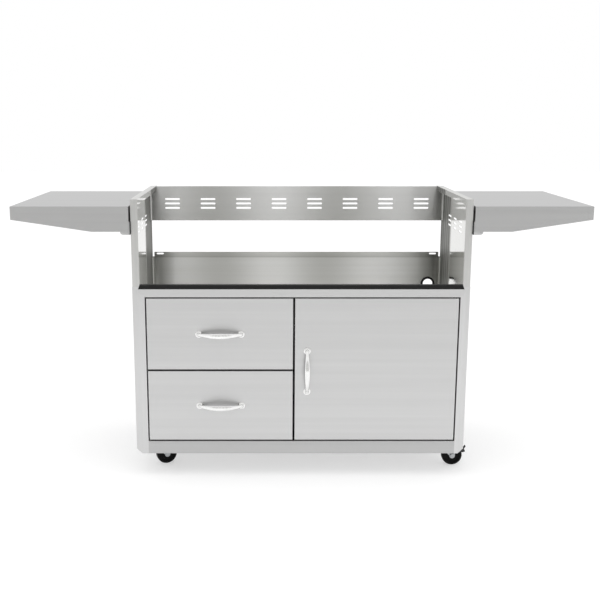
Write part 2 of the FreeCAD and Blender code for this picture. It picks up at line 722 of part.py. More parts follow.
def bow_handle():
    """Cast bow handle along X about its own middle, standing on the plane y = 0."""
    half_chord = HANDLE_SPACING / 2
    apex = HANDLE_REACH - HANDLE_MIDDLE_DEEP / 2
    sagitta = apex - HANDLE_NECK
    radius = (half_chord ** 2 + sagitta ** 2) / (2 * sagitta)
    end_turn = math.asin(half_chord / radius)
    sections = []
    for station in range(HANDLE_STATIONS):
        share = 2 * station / (HANDLE_STATIONS - 1) - 1
        swell = math.cos(share * math.pi / 2) ** 2
        turn = share * end_turn
        outward = Vector(math.sin(turn), -math.cos(turn), 0)
        centre = outward * radius + Vector(0, radius - apex, 0)
        tall = HANDLE_END_TALL + (HANDLE_MIDDLE_TALL - HANDLE_END_TALL) * swell
        deep = HANDLE_END_DEEP + (HANDLE_MIDDLE_DEEP - HANDLE_END_DEEP) * swell
        ellipse = Part.Ellipse(centre + Vector(0, 0, tall / 2), centre + outward * (deep / 2), centre)
        sections.append(Part.Wire([ellipse.toShape()]))
    bar = Part.makeLoft(sections, True)
    handle = joined(bar, handle_foot(-half_chord), handle_foot(half_chord))
    bores = [rod_y(x, 0, SCREW_RADIUS + PIN_GAP, -SCREW_DEPTH, SHEET) for x in (-half_chord, half_chord)]
    return handle.cut(bores)


def handle_foot(x):
    """Flared foot with a domed top."""
    rim = Vector(FOOT_RADIUS, -FOOT_RIM, 0)
    waist = Vector(FOOT_TOP_RADIUS, -HANDLE_NECK, 0)
    hollow = Vector((FOOT_RADIUS + 2 * FOOT_TOP_RADIUS) / 3, -(2 * FOOT_RIM + HANDLE_NECK) / 3, 0)
    crown = Vector(0, -HANDLE_NECK - FOOT_TOP_RADIUS, 0)
    shoulder = Vector(1, 0, 0) * (FOOT_TOP_RADIUS / math.sqrt(2))
    dome = shoulder + Vector(0, -HANDLE_NECK - FOOT_TOP_RADIUS / math.sqrt(2), 0)
    sides = [
        Part.LineSegment(Vector(0, 0, 0), Vector(FOOT_RADIUS, 0, 0)),
        Part.LineSegment(Vector(FOOT_RADIUS, 0, 0), rim),
        Part.Arc(rim, hollow, waist),
        Part.Arc(waist, dome, crown),
        Part.LineSegment(crown, Vector(0, 0, 0)),
    ]
    outline = Part.Face(Part.Wire([side.toShape() for side in sides]))
    foot = outline.revolve(Vector(0, 0, 0), Vector(0, 1, 0), 360)
    foot.translate(Vector(x, 0, 0))
    return foot


def handle_screws(places):
    """Screws that hold a handle from behind its front."""
    screws = []
    for x, z in places:
        shank = rod_y(x, z, SCREW_RADIUS, FRONT - SCREW_DEPTH + RUN_GAP, FRONT + SHEET)
        head = rod_y(x, z, SCREW_HEAD_RADIUS, FRONT + SHEET, FRONT + SHEET + SCREW_HEAD)
        screws.append(joined(shank, head))
    return Part.makeCompound(screws)


def drawer_handle(level):
    """Level handle in the middle of a drawer front."""
    (left_x, z), (right_x, _) = drawer_handle_feet(level)
    handle = bow_handle()
    handle.translate(Vector((left_x + right_x) / 2, FRONT, z))
    return handle


def door_handle_feet():
    """Where the two feet of the door's handle stand."""
    x = DOOR_LEFT + DOOR_HANDLE_INSET
    middle_z = (FRONTS_BOTTOM + FRONTS_TOP) / 2 - DOOR_HANDLE_DROP
    return [(x, middle_z + side * HANDLE_SPACING / 2) for side in (-1, 1)]


def door_handle():
    """Upright handle near the door's free edge."""
    (x, low_z), (_, high_z) = door_handle_feet()
    handle = bow_handle()
    handle.rotate(Vector(0, 0, 0), Vector(0, 1, 0), 90)
    handle.translate(Vector(x, FRONT, (low_z + high_z) / 2))
    return handle


# Door


def door_skin():
    """Folded front and edges of the door, open at the rear."""
    skin = folded_front(DOOR_LEFT, DOOR_RIGHT, FRONTS_BOTTOM, FRONTS_TOP)
    hollow = block(
        DOOR_LEFT + SHEET,
        DOOR_RIGHT - SHEET,
        FRONT + SHEET,
        FRONT_REAR,
        FRONTS_BOTTOM + SHEET,
        FRONTS_TOP - SHEET,
    )
    rear = block(DOOR_LEFT, DOOR_RIGHT, FRONT_REAR - SHEET, FRONT_REAR, FRONTS_BOTTOM, FRONTS_TOP)
    bush_hole = rod_z(PIVOT_X, PIVOT_Y, BUSH_RADIUS + PIN_GAP, FRONTS_BOTTOM - SHEET, FRONTS_TOP + SHEET)
    return skin.cut([hollow, rear, bush_hole] + screw_holes(door_handle_feet()))


def door_liner():
    """Flat sheet that closes the back of the door."""
    return block(DOOR_LEFT, DOOR_RIGHT, FRONT_REAR - SHEET, FRONT_REAR, FRONTS_BOTTOM, FRONTS_TOP)


def door_hinge_pins():
    """Pivot pins fixed in the top and bottom rails."""
    top_head = OPENING_TOP + SHEET
    top = rod_z(PIVOT_X, PIVOT_Y, PIVOT_RADIUS, FRONTS_TOP - PIVOT_REACH, top_head)
    top_cap = rod_z(PIVOT_X, PIVOT_Y, PIVOT_HEAD_RADIUS, top_head, top_head + PIVOT_HEAD)
    low_head = OPENING_BOTTOM - SHEET
    low = rod_z(PIVOT_X, PIVOT_Y, PIVOT_RADIUS, low_head, FRONTS_BOTTOM + PIVOT_REACH)
    low_cap = rod_z(PIVOT_X, PIVOT_Y, PIVOT_HEAD_RADIUS, low_head - PIVOT_HEAD, low_head)
    return Part.makeCompound([joined(top, top_cap), joined(low, low_cap)])


def door_hinge_bushes():
    """Flanged bushes in the door's top and bottom edge; the lower flange carries the door."""
    bore = PIVOT_RADIUS + PIN_GAP
    top_sleeve = rod_z(PIVOT_X, PIVOT_Y, BUSH_RADIUS, FRONTS_TOP - BUSH_LENGTH, FRONTS_TOP)
    top_flange = rod_z(PIVOT_X, PIVOT_Y, BUSH_FLANGE_RADIUS, FRONTS_TOP, FRONTS_TOP + TOP_BUSH_FLANGE)
    low_sleeve = rod_z(PIVOT_X, PIVOT_Y, BUSH_RADIUS, FRONTS_BOTTOM, FRONTS_BOTTOM + BUSH_LENGTH)
    low_flange = rod_z(PIVOT_X, PIVOT_Y, BUSH_FLANGE_RADIUS, OPENING_BOTTOM + RUN_GAP, FRONTS_BOTTOM)
    hole = rod_z(PIVOT_X, PIVOT_Y, bore, OPENING_BOTTOM, OPENING_TOP)
    top = joined(top_sleeve, top_flange).cut(hole)
    low = joined(low_sleeve, low_flange).cut(hole)
    return Part.makeCompound([top, low])


def catch_block(y_low, y_high):
    """Flat block behind the door's upper free corner."""
    x_low = DOOR_LEFT + CATCH_INSET
    z_high = FRONTS_TOP - CATCH_DROP
    return block(x_low, x_low + CATCH_WIDTH, y_low, y_high, z_high - CATCH_HEIGHT, z_high)


def door_strike():
    """Steel plate on the back of the door for the magnet."""
    return catch_block(FRONT_REAR, FRONT_REAR + STRIKE_THICK)


def door_catch():
    """Flat magnet on the tray's front wall."""
    return catch_block(FRONT_REAR + STRIKE_THICK + RUN_GAP, INSIDE_FRONT)


# Side shelves


def right_shelf():
    """Folded shelf: flat top, tapered aprons with returns, an inner end that is notched for the brackets."""
    taper_x = SHELF_IN + SHELF_FLAT
    outer_low = SHELF_TOP - SHELF_OUTER_APRON
    outline = [
        (SHELF_IN, SHELF_TOP),
        (SHELF_OUT, SHELF_TOP),
        (SHELF_OUT, outer_low),
        (taper_x, SHELF_BOTTOM),
        (SHELF_IN, SHELF_BOTTOM),
    ]
    outside = prism_y(outline, SHELF_FRONT, SHELF_BACK)
    outside = outside.makeFillet(BEND, edges_at(outside, z=SHELF_TOP))
    inner_x = SHELF_OUT - SHEET
    hollow_outline = [
        (SHELF_IN - SHEET, SHELF_TOP - SHEET),
        (inner_x, SHELF_TOP - SHEET),
        (inner_x, outer_low + SHEET),
        (taper_x, SHELF_BOTTOM + SHEET),
        (SHELF_IN - SHEET, SHELF_BOTTOM + SHEET),
    ]
    hollow = prism_y(hollow_outline, SHELF_FRONT + SHEET, SHELF_BACK - SHEET)
    return_x = SHELF_OUT - SHELF_RETURN
    mouth = block(
        SHELF_IN - SHEET,
        return_x,
        SHELF_FRONT + SHELF_RETURN,
        SHELF_BACK - SHELF_RETURN,
        SHELF_BOTTOM - SHEET,
        SHELF_TOP - SHEET,
    )
    bracket_room = block(
        SHELF_IN - SHEET,
        SHELF_PIVOT_X + BRACKET_WIDTH + SHELF_PIN_HEAD,
        SHELF_FRONT + SHEET,
        SHELF_BACK - SHEET,
        SHELF_BOTTOM - SHEET,
        SHELF_BOTTOM + SHEET,
    )
    shelf = outside.cut([hollow, mouth, bracket_room] + shelf_seam_cutters())
    end = block(
        SHELF_IN, SHELF_IN + SHEET, SHELF_FRONT + SHEET, SHELF_BACK - SHEET, SHELF_PIVOT_Z, SHELF_TOP - SHEET
    )
    end = end.cut(shelf_end_notches())
    pin_hole = rod_y(SHELF_PIVOT_X, SHELF_PIVOT_Z, SHELF_PIN_RADIUS + PIN_GAP, SHELF_FRONT, SHELF_BACK)
    return joined(shelf, end).cut(pin_hole)


def shelf_end_notches():
    """Room in the shelf's inner end for the ears of the brackets."""
    x_high = SHELF_IN + SHEET
    z_high = BRACKET_TOP + RUN_GAP
    front = block(SHELF_IN, x_high, SHELF_FRONT, EAR_FRONT + BRACKET_PLATE + RUN_GAP, SHELF_PIVOT_Z, z_high)
    back = block(SHELF_IN, x_high, EAR_BACK - BRACKET_PLATE - RUN_GAP, SHELF_BACK, SHELF_PIVOT_Z, z_high)
    return [front, back]


def shelf_seam_cutters():
    """Shallow grooves where the end apron laps round onto the front and rear aprons."""
    x_low = SHELF_OUT - SHELF_BAND
    x_high = x_low + SEAM_GROOVE
    front = block(
        x_low, x_high, SHELF_FRONT, SHELF_FRONT + SEAM_GROOVE_DEPTH, SHELF_BOTTOM, SHELF_TOP - BEND
    )
    back = block(x_low, x_high, SHELF_BACK - SEAM_GROOVE_DEPTH, SHELF_BACK, SHELF_BOTTOM, SHELF_TOP - BEND)
    return [front, back]


def right_shelf_brackets():
    """Front and rear angle brackets on the cheek, each with an ear for a pivot pin of the shelf."""
    ear_x = CHEEK_OUT + BRACKET_WIDTH
    tab_x = CHEEK_OUT + BRACKET_PLATE
    brackets = []
    for ear_y, tab_y in ((EAR_FRONT, FRONT + BRACKET_TAB), (EAR_BACK, BACK - BRACKET_TAB)):
        inward = BRACKET_PLATE if tab_y > ear_y else -BRACKET_PLATE
        ear_low, ear_high = sorted((ear_y, ear_y + inward))
        tab_low, tab_high = sorted((ear_y, tab_y))
        tab = block(CHEEK_OUT, tab_x, tab_low, tab_high, BRACKET_BOTTOM, BRACKET_TOP)
        ear = block(CHEEK_OUT, ear_x, ear_low, ear_high, BRACKET_BOTTOM, BRACKET_TOP)
        corners = edges_at(ear, x=ear_x, z=BRACKET_BOTTOM) + edges_at(ear, x=ear_x, z=BRACKET_TOP)
        ear = ear.makeFillet(BRACKET_ROUND, corners)
        pin_hole = rod_y(SHELF_PIVOT_X, SHELF_PIVOT_Z, SHELF_PIN_RADIUS + PIN_GAP, ear_low, ear_high)
        brackets.append(joined(tab, ear).cut(pin_hole))
    return Part.makeCompound(brackets)


def right_shelf_pins():
    """Front and rear pivot pins, their heads behind the bracket's ears."""
    pins = []
    ear_in = EAR_FRONT + BRACKET_PLATE
    ear_out = EAR_BACK - BRACKET_PLATE
    front_shank = rod_y(SHELF_PIVOT_X, SHELF_PIVOT_Z, SHELF_PIN_RADIUS, SHELF_FRONT, ear_in)
    front_head = rod_y(SHELF_PIVOT_X, SHELF_PIVOT_Z, SHELF_PIN_HEAD_RADIUS, ear_in, ear_in + SHELF_PIN_HEAD)
    pins.append(joined(front_shank, front_head))
    rear_shank = rod_y(SHELF_PIVOT_X, SHELF_PIVOT_Z, SHELF_PIN_RADIUS, ear_out, SHELF_BACK)
    rear_head = rod_y(SHELF_PIVOT_X, SHELF_PIVOT_Z, SHELF_PIN_HEAD_RADIUS, ear_out - SHELF_PIN_HEAD, ear_out)
    pins.append(joined(rear_shank, rear_head))
    return Part.makeCompound(pins)


# Casters


def placed(shape, caster):
    """A caster piece, modelled about its swivel axis and trailing along +X, put in its place."""
    x, y, turn, _ = CASTERS[caster]
    shape.rotate(Vector(0, 0, 0), Vector(0, 0, 1), turn)
    shape.translate(Vector(x, y, 0))
    return shape


def bolt_places():
    """Axes of the bolts that hold the four caster plates."""
    places = []
    for x, y, _, _ in CASTERS.values():
        for side in (-1, 1):
            for end in (-1, 1):
                places.append((x + side * BOLT_SPACING_X / 2, y + end * BOLT_SPACING_Y / 2))
    return places


def caster_plates():
    """Top plates with their raceways and riveted kingpins."""
    plates = []
    boss_low = PLATE_LOW - PLATE_BOSS
    for x, y, _, _ in CASTERS.values():
        half_x = PLATE_WIDTH / 2
        half_y = PLATE_DEPTH / 2
        plate = block(x - half_x, x + half_x, y - half_y, y + half_y, PLATE_LOW, FLOOR_UNDER)
        boss = rod_z(x, y, RACE_RADIUS, boss_low, PLATE_LOW)
        kingpin = rod_z(x, y, KINGPIN_RADIUS, BRIDGE_LOW - RUN_GAP, boss_low)
        head_top = BRIDGE_LOW - RUN_GAP
        head = rod_z(x, y, KINGPIN_HEAD_RADIUS, head_top - KINGPIN_HEAD, head_top)
        plates.append(joined(plate, boss, kingpin, head))
    holes = [rod_z(x, y, BOLT_RADIUS + PIN_GAP, PLATE_LOW - SHEET, FLOOR_TOP) for x, y in bolt_places()]
    return Part.makeCompound([plate.cut(holes) for plate in plates])


def caster_bolts():
    """Hexagon bolts up through the plates and the cabinet floor, each with its nut."""
    bolts = []
    for x, y in bolt_places():
        head = hex_z(x, y, BOLT_FLATS, PLATE_LOW - BOLT_HEAD, PLATE_LOW)
        shank = rod_z(x, y, BOLT_RADIUS, PLATE_LOW, FLOOR_TOP + 2 * BOLT_HEAD)
        nut = hex_z(x, y, BOLT_FLATS, FLOOR_TOP, FLOOR_TOP + BOLT_HEAD)
        bolts.append(joined(head, shank, nut))
    return Part.makeCompound(bolts)


def leg_plate(outline, y_low):
    """One leg of a fork."""
    return prism_y(outline, y_low, y_low + LEG_PLATE)


def caster_fork(caster):
    """Pressed fork with its raceway; a braked one also holds the pedal's pin."""
    _, _, _, braked = CASTERS[caster]
    bridge = block(-FORK_NOSE, FORK_TAIL, -LEG_OUT, LEG_OUT, BRIDGE_LOW, BRIDGE_TOP)
    race = rod_z(0, 0, RACE_RADIUS, BRIDGE_TOP, RACE_TOP)
    leg = [
        (-FORK_NOSE, BRIDGE_TOP),
        (FORK_TAIL, BRIDGE_TOP),
        (TRAIL + LEG_BOSS, WHEEL_RADIUS),
        (TRAIL - LEG_BOSS, WHEEL_RADIUS),
    ]
    lug = [
        (FORK_TAIL - LEG_BOSS, BRIDGE_TOP),
        (FORK_TAIL, BRIDGE_TOP),
        (PEDAL_PIVOT_U + PEDAL_LUG, PEDAL_PIVOT_Z),
        (PEDAL_PIVOT_U, PEDAL_PIVOT_Z - PEDAL_LUG),
        (TRAIL + LEG_BOSS, WHEEL_RADIUS + LEG_BOSS),
        (TRAIL, WHEEL_RADIUS + LEG_BOSS),
    ]
    pieces = [race]
    for y_low in (-LEG_OUT, LEG_IN):
        pieces.append(leg_plate(leg, y_low))
        pieces.append(rod_y(TRAIL, WHEEL_RADIUS, LEG_BOSS, y_low, y_low + LEG_PLATE))
        if braked:
            pieces.append(leg_plate(lug, y_low))
            pieces.append(rod_y(PEDAL_PIVOT_U, PEDAL_PIVOT_Z, PEDAL_LUG, y_low, y_low + LEG_PLATE))
    if braked:
        pieces.append(rod_y(PEDAL_PIVOT_U, PEDAL_PIVOT_Z, PEDAL_PIN_RADIUS, -LEG_OUT, LEG_OUT))
    fork = joined(bridge, *pieces)
    kingpin_hole = rod_z(0, 0, KINGPIN_RADIUS + PIN_GAP, BRIDGE_LOW - SHEET, RACE_TOP + SHEET)
    axle_hole = rod_y(TRAIL, WHEEL_RADIUS, AXLE_RADIUS + PIN_GAP, -2 * LEG_OUT, 2 * LEG_OUT)
    return placed(fork.cut([kingpin_hole, axle_hole]), caster)


def caster_axle(caster):
    """Axle bolt through the fork's legs."""
    shank = rod_y(TRAIL, WHEEL_RADIUS, AXLE_RADIUS, -LEG_OUT, LEG_OUT)
    left = rod_y(TRAIL, WHEEL_RADIUS, AXLE_HEAD_RADIUS, -LEG_OUT - AXLE_HEAD, -LEG_OUT)
    right = rod_y(TRAIL, WHEEL_RADIUS, AXLE_HEAD_RADIUS, LEG_OUT, LEG_OUT + AXLE_HEAD)
    return placed(joined(shank, left, right), caster)


def caster_wheel(caster):
    """Moulded wheel with round shoulders, a recess in each face and a proud hub."""
    half = WHEEL_WIDTH / 2
    hub_half = LEG_IN - RUN_GAP
    tread = rod_y(TRAIL, WHEEL_RADIUS, WHEEL_RADIUS, -half, half)
    tread = tread.makeFillet(WHEEL_SHOULDER, edges_at(tread, y=-half) + edges_at(tread, y=half))
    recess = rod_y(TRAIL, WHEEL_RADIUS, WHEEL_RECESS_RADIUS, half - WHEEL_RECESS, half)
    other_recess = rod_y(TRAIL, WHEEL_RADIUS, WHEEL_RECESS_RADIUS, -half, WHEEL_RECESS - half)
    hub = rod_y(TRAIL, WHEEL_RADIUS, WHEEL_HUB_RADIUS, -hub_half, hub_half)
    bore = rod_y(TRAIL, WHEEL_RADIUS, AXLE_RADIUS + PIN_GAP, -LEG_OUT, LEG_OUT)
    wheel = joined(tread.cut([recess, other_recess]), hub).cut(bore)
    return placed(wheel, caster)


def brake_pedal(caster):
    """Lever plate on a hub about the fork's pin: its foot end leans up and back, its shoe faces the wheel."""
    hub_half = LEG_IN - RUN_GAP
    half_width = PEDAL_WIDTH / 2
    plate = block(
        -PEDAL_SHOE, PEDAL_REACH, -half_width, half_width, -PEDAL_PLATE / 2, PEDAL_PLATE / 2
    )
    plate = plate.makeFillet(PEDAL_PLATE / 3, edges_at(plate, x=PEDAL_REACH))
    plate.rotate(Vector(0, 0, 0), Vector(0, 1, 0), -PEDAL_SLANT)
    plate.translate(Vector(PEDAL_PIVOT_U, 0, PEDAL_PIVOT_Z))
    hub = rod_y(PEDAL_PIVOT_U, PEDAL_PIVOT_Z, PEDAL_HUB_RADIUS, -hub_half, hub_half)
    bore = rod_y(PEDAL_PIVOT_U, PEDAL_PIVOT_Z, PEDAL_PIN_RADIUS + PIN_GAP, -LEG_OUT, LEG_OUT)
    return placed(joined(plate, hub).cut(bore), caster)


def build_pieces():
    """Every piece of the cart by its name."""
    cabinet_members = runner_pair("cabinet", "upper") + runner_pair("cabinet", "lower")
    pieces = {
        "upper_back_panel": upper_back_panel(),
        "lower_back_panel": lower_back_panel(),
        "hose_grommet": hose_grommet(),
        "bay_edge_trim": bay_edge_trim(),
        "bay_tray": bay_tray(),
        "top_rail": top_rail(),
        "bottom_rail": bottom_rail(),
        "cabinet_floor": cabinet_floor(),
        "centre_divider": centre_divider(),
        "drawer_liner": drawer_liner(),
        "rear_panel": rear_panel(),
        "left_side_panel": mirrored(side_panel(LEFT_STILE_WIDTH)),
        "right_side_panel": side_panel(RIGHT_STILE_WIDTH),
        "runner_cabinet_members": Part.makeCompound(cabinet_members),
        "door_skin": door_skin(),
        "door_liner": door_liner(),
        "door_handle": door_handle(),
        "door_handle_screws": handle_screws(door_handle_feet()),
        "door_hinge_pins": door_hinge_pins(),
        "door_hinge_bushes": door_hinge_bushes(),
        "door_catch": door_catch(),
        "door_strike": door_strike(),
        "caster_plates": caster_plates(),
        "caster_bolts": caster_bolts(),
    }
    two_sided = {
        "cheek": right_cheek(),
        "shelf": right_shelf(),
        "shelf_brackets": right_shelf_brackets(),
        "shelf_pins": right_shelf_pins(),
    }
    for name, shape in two_sided.items():
        pieces["right_" + name] = shape
        pieces["left_" + name] = mirrored(shape)
    for level in DRAWER_BOTTOMS:
        pieces[level + "_drawer_front"] = drawer_front(level)
        pieces[level + "_drawer_box"] = drawer_box(level)
        pieces[level + "_drawer_handle"] = drawer_handle(level)
        pieces[level + "_drawer_handle_screws"] = handle_screws(drawer_handle_feet(level))
        pieces[level + "_runner_drawer_members"] = Part.makeCompound(runner_pair("drawer", level))
        pieces[level + "_runner_middle_members"] = Part.makeCompound(runner_pair("middle", level))
    for caster, (_, _, _, braked) in CASTERS.items():
        pieces[caster + "_fork"] = caster_fork(caster)
        pieces[caster + "_axle"] = caster_axle(caster)
        pieces[caster + "_wheel"] = caster_wheel(caster)
        if braked:
            pieces[caster + "_brake_pedal"] = brake_pedal(caster)
    return pieces


os.makedirs("parts", exist_ok=True)
for piece_name, piece in build_pieces().items():
    piece.exportStep("parts/" + piece_name + ".step")
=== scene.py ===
"""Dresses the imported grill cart: its sheet metal, cast handles, plated casters, rubber and the studio."""

import json
import logging
import math
from dataclasses import dataclass
from enum import Enum
from typing import Any, Iterable

import bmesh
import bpy
from mathutils import Matrix, Vector


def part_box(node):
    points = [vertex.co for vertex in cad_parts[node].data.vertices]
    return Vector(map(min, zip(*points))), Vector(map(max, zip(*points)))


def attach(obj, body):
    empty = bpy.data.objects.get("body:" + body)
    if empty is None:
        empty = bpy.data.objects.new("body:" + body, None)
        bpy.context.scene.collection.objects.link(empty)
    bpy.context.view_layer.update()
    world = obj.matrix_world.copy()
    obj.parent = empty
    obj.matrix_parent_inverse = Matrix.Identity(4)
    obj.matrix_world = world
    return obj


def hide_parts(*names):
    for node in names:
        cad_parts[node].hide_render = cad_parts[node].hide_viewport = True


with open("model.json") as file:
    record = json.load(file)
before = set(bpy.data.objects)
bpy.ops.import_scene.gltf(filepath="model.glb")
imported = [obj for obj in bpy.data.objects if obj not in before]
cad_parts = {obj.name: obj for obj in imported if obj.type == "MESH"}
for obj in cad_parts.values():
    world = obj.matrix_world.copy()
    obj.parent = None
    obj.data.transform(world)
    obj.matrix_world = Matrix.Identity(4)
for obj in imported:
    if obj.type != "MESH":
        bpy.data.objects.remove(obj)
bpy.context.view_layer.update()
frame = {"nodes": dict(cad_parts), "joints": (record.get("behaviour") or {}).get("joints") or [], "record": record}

log = logging.getLogger("grill_cart")

MM = 0.001

# Corners closer than this are one corner, in metres.
WELD = 1e-6

# Edges of turned pieces over this angle are rounded, in degrees.
TURNED_SHARP = 30.0

# A noise pattern's values lie mostly between these two.
NOISE_LOW = 0.3
NOISE_HIGH = 0.7

# A quarter turn of the anisotropy draws reflections out across the tangent.
QUARTER_TURN = 0.25

# A face counts as square to the grain when this share of its normal lies along the grain,
# give or take the second value.
SQUARE = 0.70
SQUARE_SOFT = 0.01

# Place times normal on X, in metres: below the first a side's face looks at the middle of the cart,
# and above the second it doesn't.
LOOKS_IN = -0.10
LOOKS_AWAY = -0.05

WHITE = "#FFFFFF"

Look = tuple[bpy.types.Material, bpy.types.NodeTree, bpy.types.Node]


class Grain(Enum):
    """Way in which a sheet was brushed."""

    ACROSS = 0
    DEEP = 1
    UPRIGHT = 2

    @property
    def fold(self) -> int:
        """Axis along which the lines run on faces that are square to the grain."""
        return Grain.ACROSS.value if self is Grain.DEEP else Grain.DEEP.value


def linear(colour: str) -> tuple[float, float, float, float]:
    """Turns an sRGB hex colour into linear light.

    Args:
        colour: Six hex digits after a hash.

    Returns:
        Linear red, green and blue with an alpha of one.
    """
    channels = [int(colour[place : place + 2], 16) / 255 for place in (1, 3, 5)]
    light = [c / 12.92 if c <= 0.04045 else ((c + 0.055) / 1.055) ** 2.4 for c in channels]
    return light[0], light[1], light[2], 1.0


def fill_ramp(ramp: bpy.types.ColorRamp, stops: Iterable[tuple[float, str | float]]) -> None:
    """Gives a colour ramp its stops.

    Args:
        ramp: Ramp as Blender makes it, with two stops.
        stops: Place of each stop with its hex colour or its plain value, in order.
    """
    ramp.elements.remove(ramp.elements[1])
    for number, (place, shade) in enumerate(stops):
        element = ramp.elements.new(place) if number else ramp.elements[0]
        element.position = place
        element.color = linear(shade) if isinstance(shade, str) else (shade, shade, shade, 1.0)


def add_node(
    tree: bpy.types.NodeTree,
    kind: str,
    settings: dict[Any, Any] | None = None,
    links: dict[Any, bpy.types.NodeSocket] | None = None,
) -> bpy.types.Node:
    """Adds a node with its settings and links.

    Args:
        tree: Tree that takes the node.
        kind: Blender's name of the node type.
        settings: Values by property name, or by input name or number; stops go to a colour ramp.
        links: Output sockets by the input that each goes to.

    Returns:
        The new node.
    """
    node = tree.nodes.new(kind)
    for key, value in (settings or {}).items():
        if key == "stops":
            fill_ramp(node.color_ramp, value)
        elif isinstance(key, str) and hasattr(node, key):
            setattr(node, key, value)
        else:
            node.inputs[key].default_value = value
    for key, socket in (links or {}).items():
        tree.links.new(socket, node.inputs[key])
    return node


def new_material(name: str, shader: dict[str, Any]) -> Look:
    """Makes a material with one Principled shader.

    Args:
        name: What the finish is.
        shader: Plain values of the shader's sockets.

    Returns:
        The material, its tree and the shader node.
    """
    material = bpy.data.materials.new(name)
    material.use_nodes = True
    tree = material.node_tree
    tree.nodes.clear()
    principled = add_node(tree, "ShaderNodeBsdfPrincipled", shader)
    add_node(tree, "ShaderNodeOutputMaterial", links={"Surface": principled.outputs["BSDF"]})
    material.diffuse_color = shader["Base Color"]
    return material, tree, principled


def patches(
    tree: bpy.types.NodeTree,
    place: bpy.types.NodeSocket,
    size_mm: Iterable[float],
    detail: float,
    offset: float = 0.0,
) -> bpy.types.NodeSocket:
    """Cloudy pattern whose patches are as large as asked on each axis.

    Args:
        tree: Tree that takes the nodes.
        place: Coordinates that the pattern lies on, in metres.
        size_mm: Size of a patch along X, Y and Z.
        detail: Octaves of finer pattern.
        offset: Shift of the pattern, so that two patterns differ.

    Returns:
        The pattern's value.
    """
    scale = tuple(1.0 / (size * MM) for size in size_mm)
    shift = (offset, offset * 0.7, offset * 1.3)
    mapping = add_node(tree, "ShaderNodeMapping", {"Scale": scale, "Location": shift}, {"Vector": place})
    look = {"Scale": 1.0, "Detail": detail}
    return add_node(tree, "ShaderNodeTexNoise", look, {"Vector": mapping.outputs["Vector"]}).outputs["Fac"]


def lay_patterns(
    tree: bpy.types.NodeTree,
    shader: bpy.types.Node,
    tone: tuple[bpy.types.NodeSocket, str, str],
    gloss: tuple[bpy.types.NodeSocket, float, float],
    relief: tuple[bpy.types.NodeSocket, float, float],
) -> None:
    """Lets patterns run a finish's colour, its roughness and its relief.

    Args:
        tree: Tree of the material.
        shader: Its Principled shader.
        tone: A pattern, and the hex colours at its low and its high end.
        gloss: A pattern, and the roughness at its low and its high end; equal ones stay on the shader.
        relief: A pattern, the strength of its bump and its depth in mm.
    """
    pattern, low, high = tone
    stops = ((NOISE_LOW, low), (NOISE_HIGH, high))
    colour = add_node(tree, "ShaderNodeValToRGB", {"stops": stops}, {"Fac": pattern})
    tree.links.new(colour.outputs["Color"], shader.inputs["Base Color"])
    pattern, smooth, rough = gloss
    if rough > smooth:
        ends = {"From Min": NOISE_LOW, "From Max": NOISE_HIGH, "To Min": smooth, "To Max": rough}
        level = add_node(tree, "ShaderNodeMapRange", ends, {"Value": pattern})
        tree.links.new(level.outputs["Result"], shader.inputs["Roughness"])
    pattern, strength, depth_mm = relief
    height = {"Strength": strength, "Distance": depth_mm * MM}
    bump = add_node(tree, "ShaderNodeBump", height, {"Height": pattern})
    tree.links.new(bump.outputs["Normal"], shader.inputs["Normal"])


def darken(
    tree: bpy.types.NodeTree,
    shader: bpy.types.Node,
    factor: bpy.types.NodeSocket,
    stops: Iterable[tuple[float, str]],
) -> None:
    """Multiplies the shader's base colour, which already comes from a pattern, by a row of shades.

    Args:
        tree: Tree of the material.
        shader: Its Principled shader.
        factor: Value from zero to one that runs through the shades.
        stops: Place and hex colour of each shade, in order.
    """
    shade = add_node(tree, "ShaderNodeValToRGB", {"stops": stops}, {"Fac": factor})
    base = shader.inputs["Base Color"]
    links = {0: base.links[0].from_socket, 1: shade.outputs["Color"]}
    product = add_node(tree, "ShaderNodeVectorMath", {"operation": "MULTIPLY"}, links)
    tree.links.new(product.outputs["Vector"], base)


def wave_scale(length: float) -> float:
    """Scale at which a wave texture's bands repeat after a length in metres."""
    return math.pi / 10 / length


def parts_of(tree: bpy.types.NodeTree, output: str) -> bpy.types.bpy_prop_collection:
    """X, Y and Z of the piece's own coordinates or of its own normal."""
    vector = add_node(tree, "ShaderNodeTexCoord").outputs[output]
    return add_node(tree, "ShaderNodeSeparateXYZ", links={"Vector": vector}).outputs


